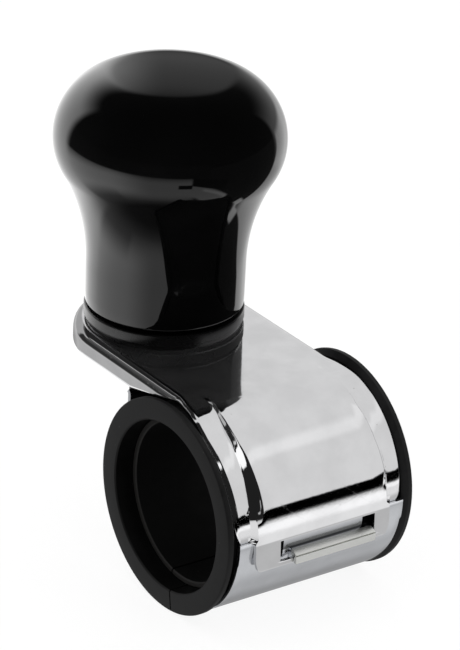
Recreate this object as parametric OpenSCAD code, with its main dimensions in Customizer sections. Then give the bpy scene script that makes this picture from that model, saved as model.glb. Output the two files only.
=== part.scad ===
// Steering wheel spinner knob: a free-turning grip on a plated bracket that clamps to the wheel's rim.
// Millimetres. X runs along the clamp's bore, Y from the bore towards the grip, and Z up along the
// grip's axis. The origin is the centre of the clamp's bore.

/* [Clamp bore and sleeve] */
// Diameter of the bore that closes on the rim
bore_d = 35; // [31:0.5:38]
// Wall of the split liner in the bore
liner_wall = 1.3; // [1:0.1:1.8]
// Length of the liner
liner_length = 38.8; // [30:0.2:40]
// Wall of the rubber sleeve's tube
sleeve_wall = 2.5; // [1.5:0.1:3.5]
// Distance across the outer faces of the sleeve's flanges
sleeve_length = 47.7; // [46.8:0.1:52]
// Thickness of a sleeve flange
flange_t = 2.2; // [1.2:0.1:2.6]
// How far a flange stands out past the sleeve's tube
flange_rise = 2.35; // [2.3:0.05:3.2]
// Width of the slit that lets the sleeve and the liner open
slit_w = 0.4; // [0.2:0.1:1]

/* [Bracket] */
// Thickness of the bracket's sheet
sheet_t = 0.9; // [0.8:0.1:1.1]
// Height of the raised panel above the band's rims
panel_rise = 1.2; // [0.8:0.1:1.6]
// Width of the raised panel's crest
panel_w = 31.2; // [28:0.2:32]
// Width of the slope on each side of the panel
slope_w = 2; // [1:0.1:2.4]
// Width of the plate that carries the grip
plate_w = 40.4; // [39.4:0.2:41.2]
// Rounding of the plate's top edge
plate_edge_r = 2.5; // [1.8:0.1:3]
// Depth of the plate's turned-down edge
plate_skirt = 4.7; // [4:0.1:6]
// Distance from the bore's axis to the grip's axis
reach = 36.8; // [36:0.2:44]

/* [Front latch] */
// Width of the tongue that hangs from the panel
tongue_w = 35.2; // [33:0.2:37]
// Depth of the tongue below the bore's axis
tongue_drop = 6.2; // [5.8:0.1:7.5]
// Width of the latch's window in the tongue
window_w = 24.4; // [24:0.2:25.4]
// Sideways shift of the window in the tongue
window_shift = 1.2; // [0.8:0.1:1.4]
// Height of the crossbar below the window
crossbar_h = 1; // [0.8:0.1:1.4]
// Width of the jaw's hook
hook_w = 20.8; // [16:0.2:21.2]
// Sideways shift of the hook in the window
hook_shift = 1.5; // [0:0.1:1.6]
// Height of the hook's lip
hook_lip = 2.1; // [1.6:0.1:3]
// Width of the jaw's tab behind the window
tab_w = 20.4; // [18:0.2:20.8]

/* [Jaw] */
// Thickness of the jaw's sheet
jaw_t = 0.9; // [0.8:0.1:1]
// Width of the jaw
jaw_w = 41.2; // [38:0.2:42]
// Height of the jaw's front ears
jaw_ear_h = 4.1; // [3:0.1:6]
// Angle above the bore's axis at which the back of the jaw turns straight up
jaw_back_angle = 31; // [27:0.5:33]

/* [Clamp screws] */
// Distance between the two clamp screws
screw_pitch = 19.6; // [19:0.2:21]
// Thread diameter of the clamp screws
screw_d = 5; // [4:0.5:5]
// Distance from the jaw's back wall to the screws
screw_offset = 8.1; // [8:0.1:8.6]

/* [Spindle] */
// Thread diameter of the spindle
spindle_d = 8; // [6:0.5:8]
// Diameter of the spindle's bearing length
journal_d = 10; // [9:0.1:11]
// Height of the bearing length above the collar
journal_h = 37.7; // [34:0.1:40]

/* [Collar and washers] */
// Diameter of the collar under the grip
collar_d = 35; // [33:0.2:36]
// Height of the collar
collar_h = 2.6; // [2:0.1:3.4]
// Thickness of the washer between the collar and the plate
base_washer_t = 1; // [0.6:0.1:1.4]
// Running gap between the collar and the grip
grip_gap = 0.8; // [0.6:0.1:1.2]

/* [Grip] */
// Widest diameter of the grip
grip_d = 50.4; // [47:0.2:52]
// Diameter of the grip's waist
waist_d = 34.9; // [33:0.1:37]
// Height of the grip
grip_h = 53.2; // [51:0.2:56]
// Radius of the bulge
bulge_r = 14.5; // [13.6:0.1:15]
// Height of the bulge's centre above the grip's foot
bulge_h = 38.1; // [37.6:0.1:40]
// Radius of the hollow between the waist and the bulge
hollow_r = 42.7; // [36:0.1:46]
// Diameter of the bearing bore in the grip
socket_d = 18; // [17:0.1:19]

/* [Hidden] */
$fn = 96;

// Clearances
through = 1;
liner_gap = 0.1;
sleeve_gap = 0.5;
jaw_sleeve_gap = 1.1;
band_side_gap = 0.25;
latch_gap = 0.3;
hook_rest_gap = 0.15;
ear_gap = 0.3;
run_gap = 0.05;
fixed_gap = 0.1;
press_gap = 0.02;

// Radii around the bore's axis
bore_r = bore_d / 2;
liner_r = bore_r + liner_wall;
tube_inner_r = liner_r + liner_gap;
tube_r = tube_inner_r + sleeve_wall;
flange_r = tube_r + flange_rise;
flange_edge = 0.4;
band_inner_r = tube_r + sleeve_gap;
band_r = band_inner_r + sheet_t;
panel_r = band_r + panel_rise;
jaw_inner_r = tube_r + jaw_sleeve_gap;
jaw_r = jaw_inner_r + jaw_t;
tube_length = sleeve_length - 2 * flange_t;
band_w = tube_length - 2 * band_side_gap;
sleeve_slit_angle = 80;
liner_slit_angle = 97;

// Plate
plate_drop = 0.3;
plate_top = panel_r - plate_drop;
plate_under = plate_top - sheet_t;
skirt_bottom = plate_top - plate_skirt;
skirt_knee_inset = 2.9;
skirt_knee_y = reach - plate_w / 2 + skirt_knee_inset;
skirt_root_y = 3;
panel_end_y = -sqrt(panel_r * panel_r - plate_top * plate_top);

// Front end of the band and the latch's tongue
band_end_z = 0.5;
band_spread_z = 6;
band_corner_z = 4.4;
band_corner_w = 1.6;
band_top_margin = 0.1;
band_seam_angle = 8;
slope_lean = 15;
tongue_proud = 0.4;
tongue_face_y = -(panel_r + tongue_proud);
tongue_back_y = tongue_face_y + sheet_t;
tongue_start_angle = 22;
tongue_bend_angle = 12;
tongue_flat_z = 0.8;
tongue_bend_drop = 0.1;
tongue_taper_z = 1;
tongue_corner_r = 2;
window_bottom = -tongue_drop + crossbar_h;
window_top = -0.4;

// Hook, whose underside rests on the crossbar
hook_x = window_shift + hook_shift;
hook_underside = window_bottom + hook_rest_gap;
hook_back_t = 1.75;
hook_front_t = 0.85;
hook_root_t = 1.2;
hook_root_inset = 0.1;
hook_top_back = hook_underside + hook_back_t;
hook_top_front = hook_underside + hook_front_t;
hook_root_y = hook_root_inset - jaw_inner_r;
hook_lip_inner_y = tongue_face_y - latch_gap;
hook_lip_y = hook_lip_inner_y - hook_front_t;
hook_fold = 0.3;

// Jaw's tab behind the window, with a notch on each side
tab_x = 0.7;
notch_rise = 0.2;
notch_bottom = window_bottom + notch_rise;
notch_side = 0.8;

// Back of the jaw, and its screw ear
jaw_wall_y = jaw_inner_r * cos(jaw_back_angle);
weld_nut_h = 4;
weld_nut_af = 8;
ear_top = plate_under - weld_nut_h - ear_gap;
ear_bottom = ear_top - jaw_t;
ear_margin = 0.8;
ear_lobe_r = 5.5;
ear_side = 0.2;
ear_w = screw_pitch + 2 * (ear_lobe_r + ear_side);
bend_r = 1.6;
screw_y = jaw_wall_y + screw_offset;
ear_edge_y = screw_y + ear_margin;
slot_gap = 0.3;
slot_r = screw_d / 2 + slot_gap;
slot_travel = 1.4;
front_ear_inset = 0.1;
front_ear_w = band_w - 2 * front_ear_inset;

// Screws and their washers
flat_washer_t = 1;
flat_washer_r = screw_d;
spring_washer_t = 1.2;
spring_washer_share = 0.86;
spring_washer_r = screw_d * spring_washer_share;
washer_split = 0.6;
screw_seat = ear_bottom - flat_washer_t - spring_washer_t;
screw_head_share = 0.85;
screw_head_r = screw_d * screw_head_share;
screw_head_h = screw_d;
screw_head_edge = 0.3;
screw_socket_share = 0.8;
screw_socket_af = screw_d * screw_socket_share;
screw_socket_depth = screw_d / 2;
screw_tip_gap = 0.3;
screw_tip = plate_under - screw_tip_gap;

// Spindle stack, from the plate upwards
base_washer_top = plate_top + base_washer_t;
collar_top = base_washer_top + collar_h;
collar_edge = 0.4;
washer_step = 0.5;
base_washer_r = collar_d / 2 - washer_step;
running_washer_t = grip_gap - fixed_gap;
running_washer_r = 12;
spindle_hole_r = spindle_d / 2 + fixed_gap;
spindle_edge = 0.5;
journal_r = journal_d / 2;
journal_top = collar_top + journal_h;
head_side_gap = 1;
head_top_gap = 2;
spindle_head_r = socket_d / 2 - head_side_gap;
spindle_head_h = 3;
nut_share = 1.625;
nut_af = spindle_d * nut_share;
nut_h = 5;
nut_spring_washer_t = 2;
nut_spring_washer_share = 0.92;
nut_spring_washer_r = spindle_d * nut_spring_washer_share;
nut_top = plate_under - nut_spring_washer_t;
thread_proud = 1;
spindle_tip = nut_top - nut_h - thread_proud;

// Grip and what its bore holds
grip_foot = collar_top + grip_gap;
grip_top = grip_foot + grip_h;
grip_r = grip_d / 2;
waist_r = waist_d / 2;
foot_taper = 0.1;
foot_r = waist_r - foot_taper;
foot_edge = 0.5;
socket_r = socket_d / 2;
socket_top = journal_top + spindle_head_h + head_top_gap;
thrust_washer_t = 1;
upper_bush_top = journal_top - thrust_washer_t - fixed_gap;
bush_h = 10;
spacer_wall = 1.5;
circlip_t = 1.2;
circlip_inset = 2.5;
circlip_bottom = grip_foot + circlip_inset;
circlip_groove = 0.8;
circlip_reach = 1.4;
circlip_mouth = 4;
lower_bush_bottom = circlip_bottom + circlip_t + run_gap;

// Sides
left = -1;
right = 1;

// Turns a shape that stands on Z so that it lies along X
module along_bore() {
    rotate([90, 0, 90]) children();
}

// Extrudes an outline drawn in Y and Z evenly to both sides along X
module side_profile(width) {
    along_bore() linear_extrude(height = width, center = true) children();
}

// Extrudes an outline drawn in X and Z along Y, from y_start to y_end
module front_profile(y_start, y_end) {
    translate([0, y_end, 0]) rotate([90, 0, 0]) linear_extrude(height = y_end - y_start) children();
}

module bar(radius, bottom, top) {
    translate([0, 0, bottom]) cylinder(r = radius, h = top - bottom);
}

module ring(outer_r, inner_r, bottom, top) {
    difference() {
        bar(outer_r, bottom, top);
        bar(inner_r, bottom - through, top + through);
    }
}

// A disc with a chamfer at both outer edges
module edged_disc(radius, bottom, top, edge) {
    rotate_extrude() polygon([
        [0, bottom], [radius - edge, bottom], [radius, bottom + edge],
        [radius, top - edge], [radius - edge, top], [0, top]
    ]);
}

module hex_bar(across_flats, bottom, top) {
    translate([0, 0, bottom]) cylinder(d = across_flats / cos(30), h = top - bottom, $fn = 6);
}

// The slit is a thin blade that reaches out from the bore's axis
module bore_slit(angle, reach_r) {
    rotate([180 + angle, 0, 0]) translate([-sleeve_length, 0, -slit_w / 2])
        cube([2 * sleeve_length, reach_r, slit_w]);
}

module rubber_sleeve() {
    half = sleeve_length / 2;
    inner = tube_length / 2;
    color([0.16, 0.16, 0.17]) difference() {
        along_bore() rotate_extrude() polygon([
            [tube_inner_r, -half], [flange_r - flange_edge, -half], [flange_r, -half + flange_edge],
            [flange_r, -inner - flange_edge], [flange_r - flange_edge, -inner], [tube_r, -inner],
            [tube_r, inner], [flange_r - flange_edge, inner], [flange_r, inner + flange_edge],
            [flange_r, half - flange_edge], [flange_r - flange_edge, half], [tube_inner_r, half]
        ]);
        bore_slit(sleeve_slit_angle, 2 * flange_r);
    }
}

module sleeve_liner() {
    color([0.22, 0.22, 0.23]) difference() {
        along_bore() ring(liner_r, bore_r, -liner_length / 2, liner_length / 2);
        bore_slit(liner_slit_angle, 2 * liner_r);
    }
}

// Half of the plate's cross-section: a flat top with a rounded, turned-down edge
module plate_half_outline(half_w, top, edge_r) {
    translate([0, top - edge_r]) square([half_w - edge_r, edge_r]);
    translate([0, skirt_bottom]) square([half_w, top - edge_r - skirt_bottom]);
    intersection() {
        translate([half_w - edge_r, top - edge_r]) circle(r = edge_r);
        translate([0, top - edge_r]) square([half_w, edge_r]);
    }
}

module plate_half_section() {
    difference() {
        plate_half_outline(plate_w / 2, plate_top, plate_edge_r);
        translate([0, -sheet_t]) plate_half_outline(plate_w / 2 - sheet_t, plate_top, plate_edge_r - sheet_t);
        translate([-through, skirt_bottom - sheet_t])
            square([plate_w / 2 - sheet_t + through, sheet_t + through]);
    }
}

// The plate: a folded channel whose far end is round
module plate() {
    difference() {
        union() {
            front_profile(0, reach) {
                plate_half_section();
                mirror([1, 0]) plate_half_section();
            }
            translate([0, reach, 0]) rotate_extrude(angle = 180) plate_half_section();
        }
        // The skirt tapers away towards the band
        side_profile(plate_w + 2 * through) polygon([
            [-through, skirt_bottom - through], [skirt_knee_y, skirt_bottom - through],
            [skirt_knee_y, skirt_bottom], [skirt_root_y, plate_under], [-through, plate_under]
        ]);
        translate([0, reach, 0]) bar(spindle_hole_r, skirt_bottom, plate_top + through);
    }
}

// Cross-section of the band, with the radius to the right and the width upwards
module band_section() {
    rim = band_w / 2;
    crest = panel_w / 2;
    foot = crest + slope_w;
    lean = sheet_t * tan(slope_lean);
    polygon([
        [band_r, -rim], [band_r, -foot], [panel_r, -crest],
        [panel_r, crest], [band_r, foot], [band_r, rim],
        [band_inner_r, rim], [band_inner_r, foot - lean], [panel_r - sheet_t, crest - lean],
        [panel_r - sheet_t, -crest + lean], [band_inner_r, -foot + lean], [band_inner_r, -rim]
    ]);
}

// The band wraps the front of the sleeve, from the plate down to the bore's axis
module band() {
    top_half_w = plate_w / 2 + band_top_margin;
    low_half_w = band_w / 2;
    intersection() {
        rotate([0, 90, 0]) rotate([0, 0, -band_seam_angle]) rotate_extrude(angle = 360) band_section();
        side_profile(band_w + through) polygon([
            [skirt_root_y, plate_top], [skirt_root_y, plate_under - 2 * sheet_t], [0, band_end_z],
            [-2 * panel_r, band_end_z], [-2 * panel_r, plate_top]
        ]);
        front_profile(-2 * panel_r, skirt_root_y) polygon([
            [-top_half_w, plate_top], [-low_half_w, band_spread_z], [-low_half_w, band_corner_z],
            [band_corner_w - low_half_w, band_end_z], [low_half_w - band_corner_w, band_end_z],
            [low_half_w, band_corner_z], [low_half_w, band_spread_z], [top_half_w, plate_top]
        ]);
    }
}

// Flat end of the panel, which carries the latch's window
module tongue() {
    back_r = panel_r - sheet_t;
    start_z = panel_r * sin(tongue_start_angle);
    half = tongue_w / 2;
    corner = tongue_corner_r;
    difference() {
        intersection() {
            side_profile(tongue_w) polygon([
                [-panel_r * cos(tongue_start_angle), start_z],
                [-panel_r * cos(tongue_bend_angle), panel_r * sin(tongue_bend_angle)],
                [tongue_face_y, tongue_flat_z], [tongue_face_y, -tongue_drop],
                [tongue_back_y, -tongue_drop], [tongue_back_y, tongue_flat_z - tongue_bend_drop],
                [-back_r * cos(tongue_bend_angle), back_r * sin(tongue_bend_angle)],
                [-back_r * cos(tongue_start_angle), back_r * sin(tongue_start_angle)]
            ]);
            front_profile(tongue_face_y - through, 0) union() {
                polygon([
                    [-panel_w / 2, start_z], [-half, tongue_taper_z], [-half, corner - tongue_drop],
                    [half, corner - tongue_drop], [half, tongue_taper_z], [panel_w / 2, start_z]
                ]);
                translate([-half + corner, -tongue_drop]) square([tongue_w - 2 * corner, corner]);
                for (side = [left, right])
                    translate([side * (half - corner), corner - tongue_drop]) circle(r = corner);
            }
        }
        front_profile(tongue_face_y - through, tongue_back_y + through)
            translate([window_shift - window_w / 2, window_bottom])
                square([window_w, window_top - window_bottom]);
    }
}

module upper_bracket() {
    color([0.78, 0.79, 0.81]) union() {
        plate();
        band();
        tongue();
        // The plate's top runs forward to the crease where the panel starts to fall
        side_profile(panel_w) polygon([
            [0, plate_under], [0, plate_top], [panel_end_y, plate_top], [panel_end_y, plate_under]
        ]);
    }
}

// The jaw's curved wall, from the front edge under the bore to its back
module jaw_arc_outline() {
    big = 2 * jaw_r;
    difference() {
        circle(r = jaw_r);
        circle(r = jaw_inner_r);
        translate([-big, 0]) square([big, big]);
        polygon([[-through, 0], [0, 0], [big * cos(jaw_back_angle), big * sin(jaw_back_angle)], [0, 2 * big]]);
    }
}

// The jaw's straight back wall and the ear that the screws pull
module jaw_back_outline() {
    root_z = jaw_inner_r * sin(jaw_back_angle);
    translate([jaw_wall_y, root_z]) square([jaw_t, ear_top - bend_r - root_z]);
    translate([jaw_wall_y + bend_r, ear_bottom]) square([ear_edge_y - jaw_wall_y - bend_r + ear_lobe_r, jaw_t]);
    intersection() {
        translate([jaw_wall_y + bend_r, ear_top - bend_r]) difference() {
            circle(r = bend_r);
            circle(r = bend_r - jaw_t);
        }
        translate([jaw_wall_y, ear_top - bend_r]) square([bend_r, bend_r]);
    }
}

// Outline of the jaw seen from above, which trims the ear to two lobes
module jaw_plan() {
    translate([-jaw_w / 2, -2 * jaw_r]) square([jaw_w, 2 * jaw_r + jaw_wall_y + jaw_t]);
    translate([-ear_w / 2, 0]) square([ear_w, ear_edge_y]);
    for (side = [left, right]) translate([side * screw_pitch / 2, screw_y]) circle(r = ear_lobe_r);
}

module screw_slot() {
    for (shift = [-slot_travel, 0]) translate([0, shift, 0]) bar(slot_r, ear_bottom - through, ear_top + through);
    translate([-slot_r, -slot_travel, ear_bottom - through]) cube([2 * slot_r, slot_travel, jaw_t + 2 * through]);
}

// The hook: a shelf from the jaw's tab that rests on the tongue's crossbar, and a lip in front of it
module hook() {
    root_bottom = hook_underside - hook_root_t;
    translate([hook_x, 0, 0]) side_profile(hook_w) polygon([
        [hook_root_y, root_bottom], [hook_root_y, hook_top_back],
        [hook_lip_y + hook_fold, hook_top_front], [hook_lip_y, hook_top_front - hook_fold],
        [hook_lip_y, hook_top_front - hook_lip], [hook_lip_inner_y, hook_top_front - hook_lip],
        [hook_lip_inner_y, hook_underside], [tongue_back_y + latch_gap, hook_underside + hook_rest_gap],
        [tongue_back_y + 2 * latch_gap, root_bottom]
    ]);
}

module lower_jaw() {
    notch_left = window_shift - window_w / 2 - notch_side;
    notch_right = window_shift + window_w / 2 + notch_side;
    color([0.72, 0.73, 0.75]) union() {
        difference() {
            union() {
                intersection() {
                    side_profile(jaw_w) {
                        jaw_arc_outline();
                        jaw_back_outline();
                    }
                    linear_extrude(height = 4 * jaw_r, center = true) jaw_plan();
                }
                side_profile(front_ear_w) intersection() {
                    jaw_arc_outline();
                    translate([-2 * jaw_r, -jaw_ear_h]) square([2 * jaw_r, jaw_ear_h]);
                }
            }
            front_profile(-2 * jaw_r, 0) {
                translate([notch_left, notch_bottom]) square([tab_x - tab_w / 2 - notch_left, jaw_r]);
                translate([tab_x + tab_w / 2, notch_bottom])
                    square([notch_right - tab_x - tab_w / 2, jaw_r]);
            }
            for (side = [left, right]) translate([side * screw_pitch / 2, screw_y, 0]) screw_slot();
        }
        hook();
    }
}

module weld_nut(side) {
    color([0.6, 0.6, 0.58]) translate([side * screw_pitch / 2, screw_y, 0]) difference() {
        hex_bar(weld_nut_af, plate_under - weld_nut_h, plate_under);
        bar(screw_d / 2 + run_gap, plate_under - weld_nut_h - through, plate_under + through);
    }
}

module weld_nut_left() { weld_nut(left); }

module weld_nut_right() { weld_nut(right); }

module clamp_screw(side) {
    color([0.25, 0.25, 0.26]) translate([side * screw_pitch / 2, screw_y, 0]) difference() {
        union() {
            bar(screw_d / 2, screw_seat - through, screw_tip);
            edged_disc(screw_head_r, screw_seat - screw_head_h, screw_seat, screw_head_edge);
        }
        hex_bar(screw_socket_af, screw_seat - screw_head_h - through,
                screw_seat - screw_head_h + screw_socket_depth);
    }
}

module clamp_screw_left() { clamp_screw(left); }

module clamp_screw_right() { clamp_screw(right); }

// A split ring
module spring_washer(outer_r, inner_r, bottom, top) {
    difference() {
        ring(outer_r, inner_r, bottom, top);
        translate([0, -washer_split / 2, bottom - through])
            cube([2 * outer_r, washer_split, top - bottom + 2 * through]);
    }
}

module screw_spring_washer(side) {
    color([0.5, 0.5, 0.5]) translate([side * screw_pitch / 2, screw_y, 0])
        spring_washer(spring_washer_r, screw_d / 2 + fixed_gap, screw_seat, screw_seat + spring_washer_t);
}

module screw_spring_washer_left() { screw_spring_washer(left); }

module screw_spring_washer_right() { screw_spring_washer(right); }

module screw_flat_washer(side) {
    color([0.62, 0.62, 0.62]) translate([side * screw_pitch / 2, screw_y, 0])
        ring(flat_washer_r, screw_d / 2 + fixed_gap, ear_bottom - flat_washer_t, ear_bottom);
}

module screw_flat_washer_left() { screw_flat_washer(left); }

module screw_flat_washer_right() { screw_flat_washer(right); }

module spindle() {
    color([0.66, 0.67, 0.69]) translate([0, reach, 0]) union() {
        edged_disc(spindle_d / 2, spindle_tip, collar_top + through, spindle_edge);
        bar(journal_r, collar_top, journal_top + through);
        edged_disc(spindle_head_r, journal_top, journal_top + spindle_head_h, spindle_edge);
    }
}

module spindle_spring_washer() {
    color([0.5, 0.5, 0.5]) translate([0, reach, 0])
        spring_washer(nut_spring_washer_r, spindle_hole_r, nut_top, plate_under);
}

module spindle_nut() {
    color([0.6, 0.6, 0.58]) translate([0, reach, 0]) difference() {
        hex_bar(nut_af, nut_top - nut_h, nut_top);
        bar(spindle_d / 2 + run_gap, nut_top - nut_h - through, nut_top + through);
    }
}

module base_washer() {
    color([0.1, 0.1, 0.1]) translate([0, reach, 0])
        ring(base_washer_r, spindle_hole_r, plate_top, base_washer_top);
}

module base_collar() {
    color([0.14, 0.14, 0.14]) translate([0, reach, 0]) difference() {
        edged_disc(collar_d / 2, base_washer_top, collar_top, collar_edge);
        bar(spindle_hole_r, base_washer_top - through, collar_top + through);
    }
}

module running_washer() {
    color([0.85, 0.85, 0.8]) translate([0, reach, 0])
        ring(running_washer_r, journal_r + fixed_gap, collar_top, collar_top + running_washer_t);
}

module head_thrust_washer() {
    color([0.72, 0.6, 0.35]) translate([0, reach, 0])
        ring(spindle_head_r, journal_r + fixed_gap, journal_top - thrust_washer_t, journal_top);
}

module bush(bottom, top) {
    color([0.75, 0.6, 0.35]) translate([0, reach, 0])
        ring(socket_r - press_gap, journal_r + run_gap, bottom, top);
}

module upper_bush() { bush(upper_bush_top - bush_h, upper_bush_top); }

module lower_bush() { bush(lower_bush_bottom, lower_bush_bottom + bush_h); }

module bush_spacer() {
    color([0.7, 0.7, 0.72]) translate([0, reach, 0])
        ring(socket_r - press_gap, socket_r - spacer_wall, lower_bush_bottom + bush_h, upper_bush_top - bush_h);
}

// An open ring that sits in the grip's groove and holds the bushes up
module bore_circlip() {
    outer_r = socket_r + circlip_groove - fixed_gap;
    color([0.3, 0.3, 0.3]) translate([0, reach, 0]) difference() {
        ring(outer_r, socket_r - circlip_reach, circlip_bottom + run_gap / 2, circlip_bottom + circlip_t + run_gap / 2);
        translate([0, -circlip_mouth / 2, circlip_bottom])
            cube([2 * outer_r, circlip_mouth, 2 * circlip_t]);
    }
}

// The grip's outline: a waist, a hollow and a bulge as tangent arcs, and a nearly flat dome
module grip_outline() {
    bulge_z = grip_foot + bulge_h;
    bulge_x = grip_r - bulge_r;
    hollow_x = waist_r + hollow_r;
    hollow_z = bulge_z - sqrt(pow(bulge_r + hollow_r, 2) - pow(hollow_x - bulge_x, 2));
    // Where the hollow turns into the bulge
    turn_share = hollow_r / (hollow_r + bulge_r);
    turn_x = hollow_x + (bulge_x - hollow_x) * turn_share;
    turn_z = hollow_z + (bulge_z - hollow_z) * turn_share;
    // The dome's sphere touches the bulge's arc from outside
    crown = bulge_z - grip_top;
    dome_r = (pow(bulge_r, 2) - pow(bulge_x, 2) - pow(crown, 2)) / (2 * (crown + bulge_r));
    dome_z = grip_top - dome_r;
    join = dome_r / norm([bulge_x, bulge_z - dome_z]);
    join_x = bulge_x * join;
    join_z = dome_z + (bulge_z - dome_z) * join;
    difference() {
        polygon([
            [0, grip_foot], [foot_r - foot_edge, grip_foot], [foot_r, grip_foot + foot_edge],
            [waist_r, hollow_z], [hollow_x, hollow_z], [turn_x, turn_z], [bulge_x, bulge_z], [0, bulge_z]
        ]);
        translate([hollow_x, hollow_z]) circle(r = hollow_r, $fn = 360);
    }
    intersection() {
        translate([bulge_x, bulge_z]) circle(r = bulge_r, $fn = 180);
        polygon([
            [bulge_x, bulge_z], [turn_x, turn_z], [2 * grip_r, turn_z],
            [2 * grip_r, 2 * grip_top], [join_x, 2 * grip_top], [join_x, join_z]
        ]);
    }
    intersection() {
        translate([0, dome_z]) circle(r = dome_r, $fn = 720);
        polygon([[0, bulge_z], [bulge_x, bulge_z], [join_x, join_z], [join_x, 2 * grip_top], [0, 2 * grip_top]]);
    }
}

module knob_grip() {
    color([0.05, 0.05, 0.05]) translate([0, reach, 0]) difference() {
        rotate_extrude() grip_outline();
        bar(socket_r, grip_foot - through, socket_top);
        bar(socket_r + circlip_groove, circlip_bottom, circlip_bottom + circlip_t + run_gap);
    }
}

upper_bracket();
rubber_sleeve();
sleeve_liner();
lower_jaw();
weld_nut_left();
weld_nut_right();
clamp_screw_left();
clamp_screw_right();
screw_spring_washer_left();
screw_spring_washer_right();
screw_flat_washer_left();
screw_flat_washer_right();
spindle();
spindle_spring_washer();
spindle_nut();
base_washer();
base_collar();
running_washer();
head_thrust_washer();
upper_bush();
bush_spacer();
lower_bush();
bore_circlip();
knob_grip();
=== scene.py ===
"""A steering wheel spinner knob: a glossy grip on a plated bracket that clamps to the wheel's rim.

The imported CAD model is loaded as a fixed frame. Every visible form is modelled around it in the same
place, in millimetres that MM turns into metres. X runs along the clamp's bore, Y from the bore to the
grip, and Z up along the grip's axis. The origin is the centre of the bore.
"""

import logging
import math
from collections.abc import Callable, Sequence
from dataclasses import dataclass, field
from enum import Enum
from typing import ClassVar

import bmesh
import bpy
from mathutils import Matrix, Vector


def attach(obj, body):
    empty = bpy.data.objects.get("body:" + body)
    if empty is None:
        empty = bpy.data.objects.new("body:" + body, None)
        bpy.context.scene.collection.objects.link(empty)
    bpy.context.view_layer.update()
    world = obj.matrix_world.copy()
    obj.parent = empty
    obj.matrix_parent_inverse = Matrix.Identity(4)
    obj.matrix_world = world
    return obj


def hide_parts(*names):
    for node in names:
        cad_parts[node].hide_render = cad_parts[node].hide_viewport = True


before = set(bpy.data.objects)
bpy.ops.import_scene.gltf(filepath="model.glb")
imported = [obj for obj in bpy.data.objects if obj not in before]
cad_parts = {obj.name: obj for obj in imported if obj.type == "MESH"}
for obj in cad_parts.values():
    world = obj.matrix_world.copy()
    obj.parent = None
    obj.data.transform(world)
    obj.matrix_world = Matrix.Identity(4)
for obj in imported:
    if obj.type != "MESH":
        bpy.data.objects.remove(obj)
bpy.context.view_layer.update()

MM = 0.001
MICRON = 1e-6
LEFT = -1
RIGHT = 1
Pair = tuple[float, float]
Triple = tuple[float, float, float]
Tint = tuple[float, float, float, float]
Piece = bpy.types.Object
Socket = bpy.types.NodeSocket

# Corners nearer to each other than MERGE, in millimetres, become one.
MERGE = 0.002
# A place nearer to a line than SLACK, in millimetres, counts as on it.
SLACK = 0.01

log = logging.getLogger("spinner_knob")


def mix(start: float, end: float, share: float) -> float:
    """Returns the value that lies that share of the way from start to end."""
    return start + (end - start) * share


def ease(share: float) -> float:
    """Returns share, held between 0 and 1, with a soft start and a soft end."""
    held = min(max(share, 0.0), 1.0)
    return held * held * (3 - 2 * held)


def rise(value: float, start: float, end: float) -> float:
    """Returns a soft climb from 0 to 1 while value goes from start to end."""
    return ease((value - start) / (end - start))


def ramp(share: float, soft: float) -> float:
    """Returns a straight climb from 0 to 1 that starts softly over its first part and ends sharply.

    Args:
        share: The place on the climb, from 0 to 1.
        soft: The length of the soft first part.

    Returns:
        The height there.
    """
    if share < soft:
        return share * share / (soft * (2 - soft))
    return (2 * share - soft) / (2 - soft)


def between(value: float, rows: Sequence[Pair]) -> float:
    """Reads a table of (place, size) rows at value.

    Args:
        value: The place to read at.
        rows: The rows, in rising order of place.

    Returns:
        The size at that place, in a straight line between two rows.
    """
    if value <= rows[0][0]:
        return rows[0][1]
    for (low, first), (high, second) in zip(rows, rows[1:]):
        if value <= high:
            return mix(first, second, (value - low) / (high - low))
    return rows[-1][1]


def arc(centre: Pair, radius: float, start: float, end: float, steps: int) -> list[Pair]:
    """Lists points on an arc.

    Args:
        centre: The arc's centre.
        radius: Its radius.
        start: The angle of the first point, in degrees.
        end: The angle of the last point, in degrees.
        steps: How many steps lie between the two.

    Returns:
        The points, both ends among them.
    """
    turns = [math.radians(mix(start, end, step / steps)) for step in range(steps + 1)]
    return [(centre[0] + radius * math.cos(turn), centre[1] + radius * math.sin(turn)) for turn in turns]


def opaque(colour: Triple, share: float = 1.0) -> Tint:
    """Returns a share of a colour's brightness, with a full alpha."""
    return (*(share * part for part in colour), 1.0)


class Light(Enum):
    """The family of finishes that a part of the studio lights."""

    PLATED = "plating"
    GLOSSY = "gloss"
    SOFT = "rubber"
    FLOOR = "floor"


class Axis(Enum):
    """The line that a turned piece is spun about."""

    UP = "Z"
    BORE = "X"


class Part(Enum):
    """The parts of a mesh that can be picked."""

    FACE = "FACE"
    CORNER = "VERT"


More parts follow.
